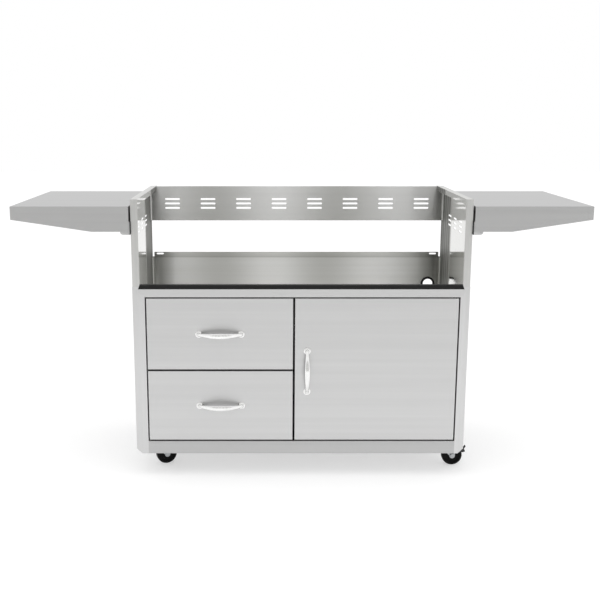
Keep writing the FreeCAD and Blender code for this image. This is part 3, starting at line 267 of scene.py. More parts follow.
@dataclass(frozen=True)
class BrushedStainless:
    """Ground stainless sheet: fine lines one way, faint wide streaks, reflections drawn out across them."""

    name: str
    grain: Grain
    light: str
    dark: str
    smooth: float
    rough: float
    pull: float
    line_mm: float = 1.3
    streak_mm: float = 16.0
    run_mm: float = 420.0
    bump: float = 0.08
    relief_mm: float = 0.02

    def material(self) -> bpy.types.Material:
        """Builds the finish; the lines are drawn coarser than real grit, which a render can't show."""
        material, _, _ = self.start()
        return material

    def start(self) -> Look:
        """Builds the finish and hands out its tree.

        Returns:
            The material, its tree and the shader node.
        """
        look = {
            "Base Color": linear(self.light),
            "Metallic": 1.0,
            "Roughness": self.smooth,
            "Anisotropic": self.pull,
            "Anisotropic Rotation": QUARTER_TURN,
        }
        material, tree, shader = new_material(self.name, look)
        lines = [self.line_mm] * 3
        streaks = [self.streak_mm] * 3
        # The small shares keep the tangent from vanishing on faces that are square to the grain.
        along = [0.01, 0.015, 0.02]
        lines[self.grain.value] = self.run_mm
        streaks[self.grain.value] = self.run_mm * 3
        along[self.grain.value] = 1.0
        place = self.brushed_place(tree)
        fine = patches(tree, place, lines, detail=2.0)
        wide = patches(tree, place, streaks, detail=3.0, offset=5.0)
        tone = (wide, self.dark, self.light)
        gloss = (fine, self.smooth, self.rough)
        lay_patterns(tree, shader, tone, gloss, (fine, self.bump, self.relief_mm))
        turn = {"vector_type": "VECTOR", "convert_from": "OBJECT", "convert_to": "WORLD", "Vector": along}
        brushed = add_node(tree, "ShaderNodeVectorTransform", turn)
        tree.links.new(brushed.outputs["Vector"], shader.inputs["Tangent"])
        return material, tree, shader

    def brushed_place(self, tree: bpy.types.NodeTree) -> bpy.types.NodeSocket:
        """Coordinates on which the lines also run along the flanges that are folded square to the grain.

        Args:
            tree: Tree that takes the nodes.

        Returns:
            The coordinates.
        """
        facing = parts_of(tree, "Normal")[self.grain.value]
        tilt = add_node(tree, "ShaderNodeMath", {"operation": "ABSOLUTE"}, {0: facing})
        ends = {
            "From Min": SQUARE - SQUARE_SOFT,
            "From Max": SQUARE + SQUARE_SOFT,
            "To Min": 1.0,
            "To Max": self.line_mm / self.run_mm,
        }
        stretch = add_node(tree, "ShaderNodeMapRange", ends, {"Value": tilt.outputs["Value"]})
        axes = {0: 1.0, 1: 1.0, 2: 1.0}
        along = add_node(tree, "ShaderNodeCombineXYZ", axes, {self.grain.fold: stretch.outputs["Result"]})
        place = add_node(tree, "ShaderNodeTexCoord").outputs["Object"]
        links = {0: place, 1: along.outputs["Vector"]}
        return add_node(tree, "ShaderNodeVectorMath", {"operation": "MULTIPLY"}, links).outputs["Vector"]


@dataclass(frozen=True)
class ZonedStainless(BrushedStainless):
    """Ground sheet whose finish changes from front to rear: real changes of gloss, and painted shade in some of
    its zones.
    """

    node: str = ""
    zones: tuple[tuple[float, str, float], ...] = ()
    outside_mm: float = 0.0

    def start(self) -> Look:
        """Adds the zones, each with its distance from the front edge in mm, its shade and its roughness.

        Returns:
            The material, its tree and the shader node.
        """
        material, tree, shader = super().start()
        low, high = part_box(self.node)
        reach = (high.y - low.y) / MM
        ends = {"From Min": low.y, "From Max": high.y}
        depth = {"Value": parts_of(tree, "Object")["Y"]}
        share = add_node(tree, "ShaderNodeMapRange", ends, depth).outputs["Result"]
        if self.outside_mm:
            share = self.hold_outside(tree, share, self.outside_mm / reach)
        darken(tree, shader, share, [(mm / reach, shade) for mm, shade, _ in self.zones])
        levels = [(mm / reach, rough) for mm, _, rough in self.zones]
        if len({rough for _, rough in levels}) > 1:
            gloss = add_node(tree, "ShaderNodeValToRGB", {"stops": levels}, {"Fac": share})
            tree.links.new(gloss.outputs["Color"], shader.inputs["Roughness"])
        return material, tree, shader

    def hold_outside(
        self, tree: bpy.types.NodeTree, share: bpy.types.NodeSocket, stop: float
    ) -> bpy.types.NodeSocket:
        """Keeps the rear zones to the faces that look at the middle of the cart.

        Args:
            tree: Tree that takes the nodes.
            share: Place from the front edge to the rear, from zero to one.
            stop: Place whose finish goes on to the rear on every other face.

        Returns:
            The place to use.
        """
        links = {0: parts_of(tree, "Object")["X"], 1: parts_of(tree, "Normal")["X"]}
        outward = add_node(tree, "ShaderNodeMath", {"operation": "MULTIPLY"}, links)
        ends = {"From Min": LOOKS_IN, "From Max": LOOKS_AWAY, "To Min": 1.0, "To Max": stop}
        most = add_node(tree, "ShaderNodeMapRange", ends, {"Value": outward.outputs["Value"]})
        links = {0: share, 1: most.outputs["Result"]}
        return add_node(tree, "ShaderNodeMath", {"operation": "MINIMUM"}, links).outputs["Value"]


@dataclass(frozen=True)
class BandedStainless(BrushedStainless):
    """Ground sheet with painted reflections in wide upright bands, lighter and darker."""

    reflection_band: str = "#DADAD8"
    band_mm: float = 375.0
    band_phase: float = 4.71
    waver: float = 0.8
    waver_scale: float = 0.6

    def start(self) -> Look:
        """Adds the bands of painted reflection.

        Returns:
            The material, its tree and the shader node.
        """
        material, tree, shader = super().start()
        settings = {
            "bands_direction": "X",
            "Scale": wave_scale(self.band_mm * MM),
            "Phase Offset": self.band_phase,
            "Distortion": self.waver,
            "Detail Scale": self.waver_scale,
        }
        place = add_node(tree, "ShaderNodeTexCoord").outputs["Object"]
        bands = add_node(tree, "ShaderNodeTexWave", settings, {"Vector": place})
        # The bands are painted reflections.
        darken(tree, shader, bands.outputs["Fac"], ((0.0, self.reflection_band), (1.0, WHITE)))
        return material, tree, shader


@dataclass(frozen=True)
class LippedStainless(BandedStainless):
    """Banded sheet with a darker set-back top lip, a line of painted shade along the lip's fold and painted shade
    at the ends in the corners.
    """

    node: str = ""
    lip: str = "#E9E9E7"
    # Painted shade along the crease where the lip is folded.
    fold: str = "#DEDEDC"
    lip_mm: float = 16.0
    fold_mm: float = 2.5
    # Painted shade at both ends, where the panel meets the cheeks in the corners.
    end_mm: float = 80.0
    painted_end_shade: tuple[tuple[float, str], ...] = (
        (0.0, WHITE), (0.62, "#C2C2C0"), (0.70, "#C2C2C0"), (0.86, "#E4E4E2"),
    )

    def start(self) -> Look:
        """Adds the darker lip with the painted shade line along its fold, and the painted shade at the ends.

        Returns:
            The material, its tree and the shader node.
        """
        material, tree, shader = super().start()
        _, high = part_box(self.node)
        place = parts_of(tree, "Object")
        # The lip begins half-way up a strip that is twice as tall.
        begins = 0.5
        strip = {"From Min": high.z - self.lip_mm * MM / begins, "From Max": high.z}
        rise = add_node(tree, "ShaderNodeMapRange", strip, {"Value": place["Z"]})
        soft = begins * self.fold_mm / self.lip_mm
        stops = (
            (begins - 2 * soft, WHITE),
            (begins - soft, self.fold),
            (begins, self.fold),
            (begins + soft, self.lip),
        )
        # The fold line is painted shade.
        darken(tree, shader, rise.outputs["Result"], stops)
        out = add_node(tree, "ShaderNodeMath", {"operation": "ABSOLUTE"}, {0: place["X"]})
        ends = {"From Min": high.x - self.end_mm * MM, "From Max": high.x}
        reach = add_node(tree, "ShaderNodeMapRange", ends, {"Value": out.outputs["Value"]})
        # The darker ends are painted shade in the corners.
        darken(tree, shader, reach.outputs["Result"], self.painted_end_shade)
        return material, tree, shader


@dataclass(frozen=True)
class CloudedMetal:
    """Metal with a faint cloud in its colour and gloss: polished castings and zinc plate."""

    name: str
    light: str
    dark: str
    smooth: float
    rough: float
    cloud_mm: float
    bump: float
    # Painted shade on faces that look to the rear, which the sheet behind mirrors as a deeper shadow.
    rear: str = ""
    rear_turn: float = 0.4
    relief_mm: float = 0.05

    def material(self) -> bpy.types.Material:
        """Builds the finish; faces that look to the rear take the rear shade, a painted shade, if there is one."""
        look = {"Base Color": linear(self.light), "Metallic": 1.0, "Roughness": self.smooth}
        material, tree, shader = new_material(self.name, look)
        place = add_node(tree, "ShaderNodeTexCoord").outputs["Object"]
        cloud = patches(tree, place, (self.cloud_mm,) * 3, detail=4.0)
        tone = (cloud, self.dark, self.light)
        gloss = (cloud, self.smooth, self.rough)
        lay_patterns(tree, shader, tone, gloss, (cloud, self.bump, self.relief_mm))
        # The rear shade is painted shade.
        if self.rear:
            ends = {"From Min": 0.0, "From Max": self.rear_turn}
            turned = add_node(tree, "ShaderNodeMapRange", ends, {"Value": parts_of(tree, "Normal")["Y"]})
            darken(tree, shader, turned.outputs["Result"], ((0.0, WHITE), (1.0, self.rear)))
        return material


@dataclass(frozen=True)
class MouldedBlack:
    """Black rubber or plastic from a grained mould: matt, with a dusty bloom in patches."""

    name: str
    deep: str
    bloom: str
    smooth: float
    rough: float
    grit_mm: float
    bloom_mm: float
    gloss: float = 0.3
    bump: float = 0.25
    relief_mm: float = 0.1

    def material(self) -> bpy.types.Material:
        """Builds the finish."""
        look = {"Base Color": linear(self.deep), "Roughness": self.rough, "Specular IOR Level": self.gloss}
        material, tree, shader = new_material(self.name, look)
        place = add_node(tree, "ShaderNodeTexCoord").outputs["Object"]
        grit = patches(tree, place, (self.grit_mm,) * 3, detail=2.0)
        dust = patches(tree, place, (self.bloom_mm,) * 3, detail=3.0, offset=3.0)
        tone = (dust, self.deep, self.bloom)
        gloss = (dust, self.smooth, self.rough)
        lay_patterns(tree, shader, tone, gloss, (grit, self.bump, self.relief_mm))
        return material


class Finishes:
    """Every finish on the cart, each made once."""

    def __init__(self) -> None:
        """Builds the materials."""
        # Satin front sheet, ground from side to side: broad pale reflections, drawn out up and down.
        self.front = BrushedStainless(
            "stainless_ground_across", Grain.ACROSS, light="#D5D5D5", dark="#D0D0D0",
            smooth=0.36, rough=0.40, pull=0.6,
        ).material()
        # Drawer fronts: the same face, their folded-back edges darkened as painted shade, so that the gaps round
        # them look dark.
        self.drawer = ZonedStainless(
            "stainless_ground_painted_gap_shade", Grain.ACROSS, light="#D5D5D5", dark="#D0D0D0",
            smooth=0.36, rough=0.40, pull=0.6,
            node="upper_drawer_front",
            # The dark zone on the folded edges is painted shade for the gaps.
            zones=((0.4, WHITE, 0.38), (1.2, "#707070", 0.60)),
        ).material()
        # The same sheet ground upright on stiles and sides: reflections drawn out from side to side.
        self.upright = BrushedStainless(
            "stainless_ground_upright", Grain.UPRIGHT, light="#D6D6D6", dark="#D0D0D0",
            smooth=0.36, rough=0.42, pull=0.6,
        ).material()
        # Shelves and bottom rail, ground along their length, their base darkened as painted shade for the dimmer
        # light they catch.
        self.darkened_for_shade = BrushedStainless(
            "stainless_ground_painted_shade", Grain.ACROSS, light="#C1C1C1", dark="#BBBBBB",
            smooth=0.36, rough=0.40, pull=0.5,
        ).material()
        # Cheeks: ground on the flanges and outside, nearly a mirror inside, with painted shade in streaks towards
        # the rear corner of the bay.
        self.cheek = ZonedStainless(
            "stainless_bright_rolled", Grain.UPRIGHT, light="#EAEAE9", dark="#E0E0DF",
            smooth=0.10, rough=0.10, pull=0.3,
            streak_mm=9.0,
            node="left_cheek",
            outside_mm=2.0,
            zones=(
                (1.3, "#E6E6E5", 0.40), (2.0, "#EEEEED", 0.40),
                (3.0, "#EEEEEC", 0.10), (310.0, "#EEEEEC", 0.10),
                # From here back, the streaky dark stops are painted shade in the rear corner.
                (342.0, "#ACACA9", 0.56), (356.0, "#7C7C79", 0.56), (372.0, "#AEAEAB", 0.56),
                (388.0, "#787875", 0.56), (404.0, "#ACACA9", 0.56), (420.0, "#747471", 0.56),
                (436.0, "#A6A6A3", 0.56), (452.0, "#6E6E6B", 0.58), (466.0, "#989895", 0.60),
                (480.0, "#747471", 0.60),
            ),
        ).material()
        # Back panels, ground in level lines, with upright bands of light and dark that are painted reflections.
        self.back = BandedStainless(
            "stainless_painted_reflection_bands", Grain.ACROSS, light="#EDEDEC", dark="#E9E9E8",
            smooth=0.34, rough=0.40, pull=1.0,
            band_mm=450.0,
            band_phase=4.26,
        ).material()
        # The lower back panel, its base lightened as painted light to make up for the shade of the tray it faces,
        # with the same painted reflection bands.
        self.lower_back = LippedStainless(
            "stainless_painted_light_and_bands", Grain.ACROSS, light="#FFFFFE", dark="#F8F8F6",
            smooth=0.34, rough=0.40, pull=1.0,
            node="lower_back_panel",
        ).material()
        # Tray of the bay, ground from front to rear, its front end darkened as painted shade, which shows through
        # the gaps in front of it.
        self.tray = ZonedStainless(
            "stainless_ground_deep", Grain.DEEP, light="#F4F4F2", dark="#EEEEEC",
            smooth=0.60, rough=0.60, pull=0.0,
            node="bay_tray",
            # The dark front zone is painted shade.
            zones=((0.3, "#4C4C4A", 0.60), (0.7, WHITE, 0.60)),
        ).material()
        # Cast and buffed handle metal: small soft highlights, and a rear darkened as painted shade, which the
        # front sheet mirrors as a deeper shadow above the bar.
        self.handle = CloudedMetal(
            "stainless_cast_polished", light="#F6F6F5", dark="#ECECEB",
            smooth=0.15, rough=0.20, cloud_mm=22.0, bump=0.02, rear="#90908E",
        ).material()
        # Zinc-plated pressings: bluish grey, a soft spangle.
        self.zinc = CloudedMetal(
            "steel_zinc_plated", light="#BFC1C2", dark="#A5A8AA",
            smooth=0.28, rough=0.45, cloud_mm=6.0, bump=0.08,
        ).material()
        # Black-passivated zinc on levers and ears: dark, slightly mottled; on the bracket strips beside the cheeks
        # it is painted shade.
        self.lever = CloudedMetal(
            "steel_zinc_black_and_painted_shade", light="#4A4B4C", dark="#383939",
            smooth=0.40, rough=0.55, cloud_mm=5.0, bump=0.08,
        ).material()
        # Extruded rubber: matt black with a grey bloom.
        self.rubber = MouldedBlack(
            "rubber_extruded_black", deep="#0B0B0B", bloom="#141414",
            smooth=0.50, rough=0.66, grit_mm=0.9, bloom_mm=60.0,
        ).material()
        # Injection-moulded wheel: deeper black, a little smoother than rubber.
        self.wheel = MouldedBlack(
            "polyurethane_moulded_black", deep="#030303", bloom="#080808",
            smooth=0.40, rough=0.55, grit_mm=0.7, bloom_mm=18.0, gloss=0.14,
        ).material()
        # Nylon bushes and magnet case: black, fine grain.
        self.nylon = MouldedBlack(
            "nylon_moulded_black", deep="#161616", bloom="#202020",
            smooth=0.42, rough=0.55, grit_mm=0.5, bloom_mm=12.0,
        ).material()


def nodes_ending(*endings: str) -> tuple[str, ...]:
    """CAD nodes whose names end in one of these."""
    return tuple(node for node in frame["nodes"] if node.endswith(endings))


def dress_groups(groups: dict[bpy.types.Material, tuple[str, ...]]) -> None:
    """Gives CAD nodes their finishes.

    Args:
        groups: Names of the nodes by finish.
    """
    for material, nodes in groups.items():
        for node in nodes:
            slots = frame["nodes"][node].data.materials
            slots.clear()
            slots.append(material)
        log.info("%s on %s", material.name, ", ".join(nodes))


def body_of(node: str) -> str:
    """Body that carries a CAD node."""
    bodies = frame["record"]["behaviour"]["bodies"]
    return next(body for body, nodes in bodies.items() if node in nodes)


def keep_piece(
    shape: bmesh.types.BMesh, name: str, material: bpy.types.Material, node: str, sharp_deg: float = 35.0
) -> bpy.types.Object:
    """Turns a finished shape into a piece that stands in for a CAD node and rides on its body.

    Args:
        shape: The mesh being built; it is freed.
        name: Name of the piece.
        material: Its finish.
        node: CAD node that it stands for.
        sharp_deg: Edges over this angle stay crisp.

    Returns:
        The new object.
    """
    bmesh.ops.remove_doubles(shape, verts=shape.verts, dist=WELD)
    bmesh.ops.recalc_face_normals(shape, faces=shape.faces)
    mesh = bpy.data.meshes.new(name)
    shape.to_mesh(mesh)
    shape.free()
    mesh.shade_smooth()
    mesh.set_sharp_from_angle(angle=math.radians(sharp_deg))
    mesh.materials.append(material)
    piece = bpy.data.objects.new(name, mesh)
    bpy.context.scene.collection.objects.link(piece)
    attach(piece, body_of(node))
    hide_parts(node)
    log.info("%s rides on %s, %d faces", name, body_of(node), len(mesh.polygons))
    return piece


def turn_profile(
    shape: bmesh.types.BMesh, points: Iterable[tuple[float, float]], place: Matrix, steps: int, closed: bool
) -> None:
    """Spins a profile all the way round an axis.

    Args:
        shape: Mesh that takes the turned form.
        points: Radius and height of each point of the profile.
        place: Where the axis goes; the axis is the matrix's own Z.
        steps: Sides of the turned form.
        closed: Whether the last point joins the first, as on a ring.
    """
    turned = bmesh.new()
    corners = [turned.verts.new((radius, 0.0, height)) for radius, height in points]
    for first, second in zip(corners, corners[1:]):
        turned.edges.new((first, second))
    if closed:
        turned.edges.new((corners[-1], corners[0]))
    geom = list(turned.verts) + list(turned.edges)
    bmesh.ops.spin(
        turned,
        geom=geom,
        cent=(0.0, 0.0, 0.0),
        axis=(0.0, 0.0, 1.0),
        angle=math.tau,
        steps=steps,
        use_merge=True,
    )
    bmesh.ops.remove_doubles(turned, verts=turned.verts, dist=WELD)
    bmesh.ops.recalc_face_normals(turned, faces=turned.faces)
    bmesh.ops.transform(turned, verts=turned.verts, matrix=place)
    spare = bpy.data.meshes.new("turned")
    turned.to_mesh(spare)
    turned.free()
    shape.from_mesh(spare)
    bpy.data.meshes.remove(spare)


def sharp_edges(shape: bmesh.types.BMesh, over_deg: float) -> list[bmesh.types.BMEdge]:
    """Edges whose two faces meet at more than an angle in degrees."""
    over = math.radians(over_deg)
    return [edge for edge in shape.edges if edge.is_manifold and edge.calc_face_angle() > over]


def round_edges(
    shape: bmesh.types.BMesh, edges: list[bmesh.types.BMEdge], width: float, segments: int
) -> None:
    """Rounds edges.

    Args:
        shape: Mesh whose edges are rounded.
        edges: The edges.
        width: Width of the rounding, in metres.
        segments: Steps across the rounding.
    """
    bmesh.ops.bevel(
        shape,
        geom=edges,
        offset=width,
        offset_type="OFFSET",
        affect="EDGES",
        segments=segments,
        profile=0.5,
        material=-1,
        clamp_overlap=True,
    )


def arc_points(
    centre: tuple[float, float], radius: float, start: float, stop: float, steps: int
) -> list[tuple[float, float]]:
    """Points along an arc of a profile.

    Args:
        centre: Radius and height of the arc's own centre.
        radius: Size of the arc.
        start: First angle, in degrees.
        stop: Last angle, in degrees.
        steps: Number of parts.

    Returns:
        Radius and height of each point.
    """
    turns = [math.radians(start + (stop - start) * step / steps) for step in range(steps + 1)]
    return [(centre[0] + radius * math.cos(turn), centre[1] + radius * math.sin(turn)) for turn in turns]


@dataclass
class BowHandle:
    """Cast bow handle: an elliptical bar that swells in the middle, on two flared feet."""

    node: str
    upright: bool
    finishes: Finishes
    middle_tall: float = 16.5 * MM
    middle_deep: float = 8.0 * MM
    end_tall: float = 10.5 * MM
    end_deep: float = 7.0 * MM
    neck: float = 7.0 * MM
    foot_radius: float = 10.5 * MM
    foot_waist: float = 5.6 * MM
    foot_rim: float = 1.5 * MM
    stations: int = 56
    sides: int = 32
    foot_sides: int = 40
    flare_steps: int = 10
    dome_steps: int = 8
    crisp_deg: float = 50.0

    def build(self) -> None:
        """Sweeps the bar, turns the feet and stands the handle where its CAD node is."""
        low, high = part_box(self.node)
        size = high - low
        spacing = (size.z if self.upright else size.x) - 2 * self.foot_radius
        shape = bmesh.new()
        self.sweep_bar(shape, spacing / 2, size.y)
        for side in (-1, 1):
            self.turn_foot(shape, side * spacing / 2)
        if self.upright:
            quarter = Matrix.Rotation(math.pi / 2, 3, "Y")
            bmesh.ops.rotate(shape, verts=shape.verts, cent=(0.0, 0.0, 0.0), matrix=quarter)
        middle = (low + high) / 2
        bmesh.ops.translate(shape, verts=shape.verts, vec=(middle.x, high.y, middle.z))
        keep_piece(shape, f"{self.node}_casting", self.finishes.handle, self.node, self.crisp_deg)

    def sweep_bar(self, shape: bmesh.types.BMesh, half: float, reach: float) -> None:
        """Spins an ellipse along the bow and swells its rings towards the middle.

        Args:
            shape: Mesh that takes the bar.
            half: Half of the distance between the feet.
            reach: How far the bar stands out.
        """
        apex = reach - self.middle_deep / 2
        sagitta = apex - self.neck
        radius = (half**2 + sagitta**2) / (2 * sagitta)
        end_turn = math.asin(half / radius)
        centre = Vector((0.0, radius - apex, 0.0))
        first = self.ring_space(centre, radius, -end_turn)
        oval = Matrix.Diagonal((self.end_deep / 2, self.end_tall / 2, 1.0, 1.0))
        ring = bmesh.ops.create_circle(
            shape, cap_ends=False, segments=self.sides, radius=1.0, matrix=first @ oval
        )
        edges = list({edge for corner in ring["verts"] for edge in corner.link_edges})
        bmesh.ops.spin(
            shape,
            geom=ring["verts"] + edges,
            cent=centre,
            axis=(0.0, 0.0, 1.0),
            angle=2 * end_turn,
            steps=self.stations,
            use_merge=False,
        )
        rings: dict[int, list[bmesh.types.BMVert]] = {}
        for corner in shape.verts:
            turn = math.atan2(corner.co.x, centre.y - corner.co.y)
            rings.setdefault(round((turn / end_turn + 1) / 2 * self.stations), []).append(corner)
        for station, corners in rings.items():
            share = 2 * station / self.stations - 1
            swell = math.cos(share * math.pi / 2) ** 2
            deep = 1 + (self.middle_deep / self.end_deep - 1) * swell
            tall = 1 + (self.middle_tall / self.end_tall - 1) * swell
            space = self.ring_space(centre, radius, share * end_turn).inverted()
            bmesh.ops.scale(shape, verts=corners, vec=(deep, tall, 1.0), space=space)
        rim = [edge for edge in shape.edges if edge.is_boundary]
        bmesh.ops.holes_fill(shape, edges=rim, sides=self.sides)

    def ring_space(self, centre: Vector, radius: float, turn: float) -> Matrix:
        """Space of one ring of the bar.

        Args:
            centre: Middle of the bow's arc.
            radius: Radius of the arc.
            turn: Angle along the arc.

        Returns:
            Matrix whose X points outwards, whose Y is up and whose Z runs along the bar.
        """
        outward = Vector((math.sin(turn), -math.cos(turn), 0.0))
        upward = Vector((0.0, 0.0, 1.0))
        axes = Matrix((outward, upward, outward.cross(upward))).transposed().to_4x4()
        return Matrix.Translation(centre + outward * radius) @ axes

    def turn_foot(self, shape: bmesh.types.BMesh, x: float) -> None:
        """Turns a flared foot with a domed top.

        Args:
            shape: Mesh that takes the foot.
            x: Where the foot stands along the handle.
        """
        flare = self.foot_radius - self.foot_waist
        points = [(0.0, 0.0), (self.foot_radius, 0.0)]
        flare_centre = (self.foot_radius, self.foot_rim + flare)
        points += arc_points(flare_centre, flare, 270.0, 180.0, self.flare_steps)
        points += arc_points((0.0, self.neck), self.foot_waist, 0.0, 90.0, self.dome_steps)
        stand = Matrix.Translation((x, 0.0, 0.0)) @ Matrix.Rotation(math.pi / 2, 4, "X")
        turn_profile(shape, points, stand, self.foot_sides, closed=False)


@dataclass
class CasterWheel:
    """Moulded wheel with round shoulders, a dished recess in each face and a proud hub."""

    corner: str
    finishes: Finishes
    radius: float = 33.0 * MM
    half_width: float = 12.0 * MM
    shoulder: float = 5.0 * MM
    hub_half: float = 12.7 * MM
    hub_radius: float = 11.0 * MM
    recess_radius: float = 24.0 * MM
    recess: float = 3.0 * MM
    hub_slope: float = 2.0 * MM
    recess_slope: float = 1.0 * MM
    bore: float = 4.05 * MM
    rounding: float = 0.5 * MM
    round_steps: int = 2
    shoulder_steps: int = 8
    sides: int = 72

    def build(self) -> None:
        """Turns the wheel about its own axle."""
        joint = next(joint for joint in frame["joints"] if joint["name"] == f"{self.corner}_roll")
        axle = Vector(joint["axis"])
        place = Matrix.Translation(joint["pos_m"]) @ axle.to_track_quat("Z", "Y").to_matrix().to_4x4()
        web = self.half_width - self.recess
        shoulder_centre = (self.radius - self.shoulder, self.half_width - self.shoulder)
        upper = [
            (self.bore, self.hub_half),
            (self.hub_radius, self.hub_half),
            (self.hub_radius + self.hub_slope, web),
            (self.recess_radius - self.recess_slope, web),
            (self.recess_radius, self.half_width),
        ]
        upper += arc_points(shoulder_centre, self.shoulder, 90.0, 0.0, self.shoulder_steps)
        lower = [(radius, -height) for radius, height in reversed(upper)]
        shape = bmesh.new()
        turn_profile(shape, upper + lower, place, self.sides, closed=True)
        round_edges(shape, sharp_edges(shape, TURNED_SHARP), self.rounding, self.round_steps)
        node = f"{self.corner}_wheel"
        keep_piece(shape, f"{node}_moulding", self.finishes.wheel, node)


@dataclass
class HoseGrommet:
    """Rubber ring with rounded lips round the hose hole."""

    finishes: Finishes
    bore: float = 17.5 * MM
    seat: float = 21.0 * MM
    lip: float = 3.0 * MM
    rounding: float = 1.1 * MM
    round_steps: int = 4
    sides: int = 64

    def build(self) -> None:
        """Turns the ring about the hole's axis."""
        low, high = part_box("hose_grommet")
        middle = (low + high) / 2
        outer = (high.x - low.x) / 2
        half = (high.y - low.y) / 2
        groove = half - self.lip
        front = [(self.bore, half), (outer, half), (outer, groove), (self.seat, groove)]
        back = [(radius, -height) for radius, height in reversed(front)]
        shape = bmesh.new()
        place = Matrix.Translation(middle) @ Matrix.Rotation(math.pi / 2, 4, "X")
        turn_profile(shape, front + back, place, self.sides, closed=True)
        lips = [edge for edge in sharp_edges(shape, TURNED_SHARP) if self.on_face(edge, middle.y, half)]
        round_edges(shape, lips, self.rounding, self.round_steps)
        keep_piece(shape, "hose_grommet_ring", self.finishes.rubber, "hose_grommet")

    def on_face(self, edge: bmesh.types.BMEdge, middle: float, half: float) -> bool:
        """Whether an edge lies on the front or rear face of the ring."""
        return all(abs(abs(corner.co.y - middle) - half) < 10 * WELD for corner in edge.verts)


@dataclass
class SoftenedNode:
    """CAD node with the edges that pressing, moulding or tumbling would round."""

    node: str
    material: bpy.types.Material
    width_mm: float
    segments: int = 2
    flat_deg: float = 0.5
    sharp_deg: float = 35.0

    def build(self) -> None:
        """Keeps the softened copy in the node's place."""
        keep_piece(self.soften(), f"{self.node}_softened", self.material, self.node)

    def soften(self) -> bmesh.types.BMesh:
        """Copies the node, merges its triangles into faces and rounds its edges."""
        shape = bmesh.new()
        shape.from_mesh(frame["nodes"][self.node].data)
        bmesh.ops.remove_doubles(shape, verts=shape.verts, dist=2 * WELD)
        bmesh.ops.dissolve_limit(
            shape,
            angle_limit=math.radians(self.flat_deg),
            use_dissolve_boundaries=False,
            verts=shape.verts,
            edges=shape.edges,
        )
        round_edges(shape, sharp_edges(shape, self.sharp_deg), self.width_mm * MM, self.segments)
        return shape


@dataclass
class TwoToneNode(SoftenedNode):
    """Softened node that has a second finish on the far side of a plane."""

    second: bpy.types.Material | None = None

    def build(self) -> None:
        """Parts the faces along the plane and gives those beyond it the second finish."""
        shape = self.soften()
        start, outward = self.border()
        geom = list(shape.verts) + list(shape.edges) + list(shape.faces)
        bmesh.ops.bisect_plane(shape, geom=geom, dist=WELD, plane_co=start, plane_no=outward)
        for face in shape.faces:
            if (face.calc_center_median() - start).dot(outward) > 0:
                face.material_index = 1
        piece = keep_piece(shape, f"{self.node}_softened", self.material, self.node)
        piece.data.materials.append(self.second)

    def border(self) -> tuple[Vector, Vector]:
        """Point on the plane, and the way to the second finish."""
        raise NotImplementedError


@dataclass
class BrakedFork(TwoToneNode):
    """Fork of a braked caster, its ears blacked like the lever that they hold."""

    ear_mm: float = 22.0

    def border(self) -> tuple[Vector, Vector]:
        """Plane across the ears, short of the lever's pin."""
        pin = self.joint_place("brake_tip")
        outward = pin - self.joint_place("swivel")
        outward.z = 0.0
        outward.normalize()
        return pin - outward * self.ear_mm * MM, outward

    def joint_place(self, motion: str) -> Vector:
        """Where one of this caster's joints is."""
        name = self.node.replace("fork", motion)
        return next(Vector(joint["pos_m"]) for joint in frame["joints"] if joint["name"] == name)


@dataclass
class ShelfBracket(TwoToneNode):
    """Brackets of a shelf, with a black strip beside the cheek, painted shade that darkens the gap beside the
    shelf.
    """

    strip_mm: float = 1.6

    def border(self) -> tuple[Vector, Vector]:
        """Plane beside the cheek."""
        low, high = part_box(self.node)
        on_left = high.x < 0
        inward = Vector((1.0 if on_left else -1.0, 0.0, 0.0))
        cheek_side = high if on_left else low
        return cheek_side - inward * self.strip_mm * MM, inward


@dataclass
class SheetMetal:
    """Folded sheets of the cabinet, the bay and the shelves."""

    finishes: Finishes

    def dress_all(self) -> None:
        """Gives each sheet the brushing that it was cut with."""
        dress_groups({
            self.finishes.front: (
                "top_rail", "door_skin", "door_liner", "rear_panel", "cabinet_floor", "upper_drawer_box",
                "lower_drawer_box",
            ),
            self.finishes.drawer: ("upper_drawer_front", "lower_drawer_front"),
            self.finishes.upright: (
                "left_side_panel", "right_side_panel", "centre_divider", "drawer_liner",
            ),
            self.finishes.darkened_for_shade: (
                "bottom_rail", "left_shelf", "right_shelf", "left_shelf_brackets", "right_shelf_brackets",
                "left_shelf_pins", "right_shelf_pins",
            ),
            self.finishes.cheek: ("left_cheek", "right_cheek"),
            self.finishes.back: ("upper_back_panel",),
            self.finishes.lower_back: ("lower_back_panel",),
            self.finishes.tray: ("bay_tray",),
        })


@dataclass
class SmallParts:
    """Runners, screws, pins, handles, rubber pieces and casters."""

    finishes: Finishes

    def dress_all(self) -> None:
        """Gives every small part its plated, rubber or moulded finish."""
        dress_groups({
            self.finishes.zinc: (
                "runner_cabinet_members", "upper_runner_drawer_members", "lower_runner_drawer_members",
                "upper_runner_middle_members", "lower_runner_middle_members", "door_handle_screws",
                "upper_drawer_handle_screws", "lower_drawer_handle_screws", "door_hinge_pins",
                "door_strike", "caster_plates", "caster_bolts", *nodes_ending("_fork", "_axle"),
            ),
            self.finishes.nylon: ("door_hinge_bushes", "door_catch"),
            self.finishes.rubber: ("bay_edge_trim", "hose_grommet"),
            self.finishes.wheel: nodes_ending("_wheel"),
            self.finishes.handle: nodes_ending("_handle"),
            self.finishes.lever: nodes_ending("_brake_pedal"),
        })


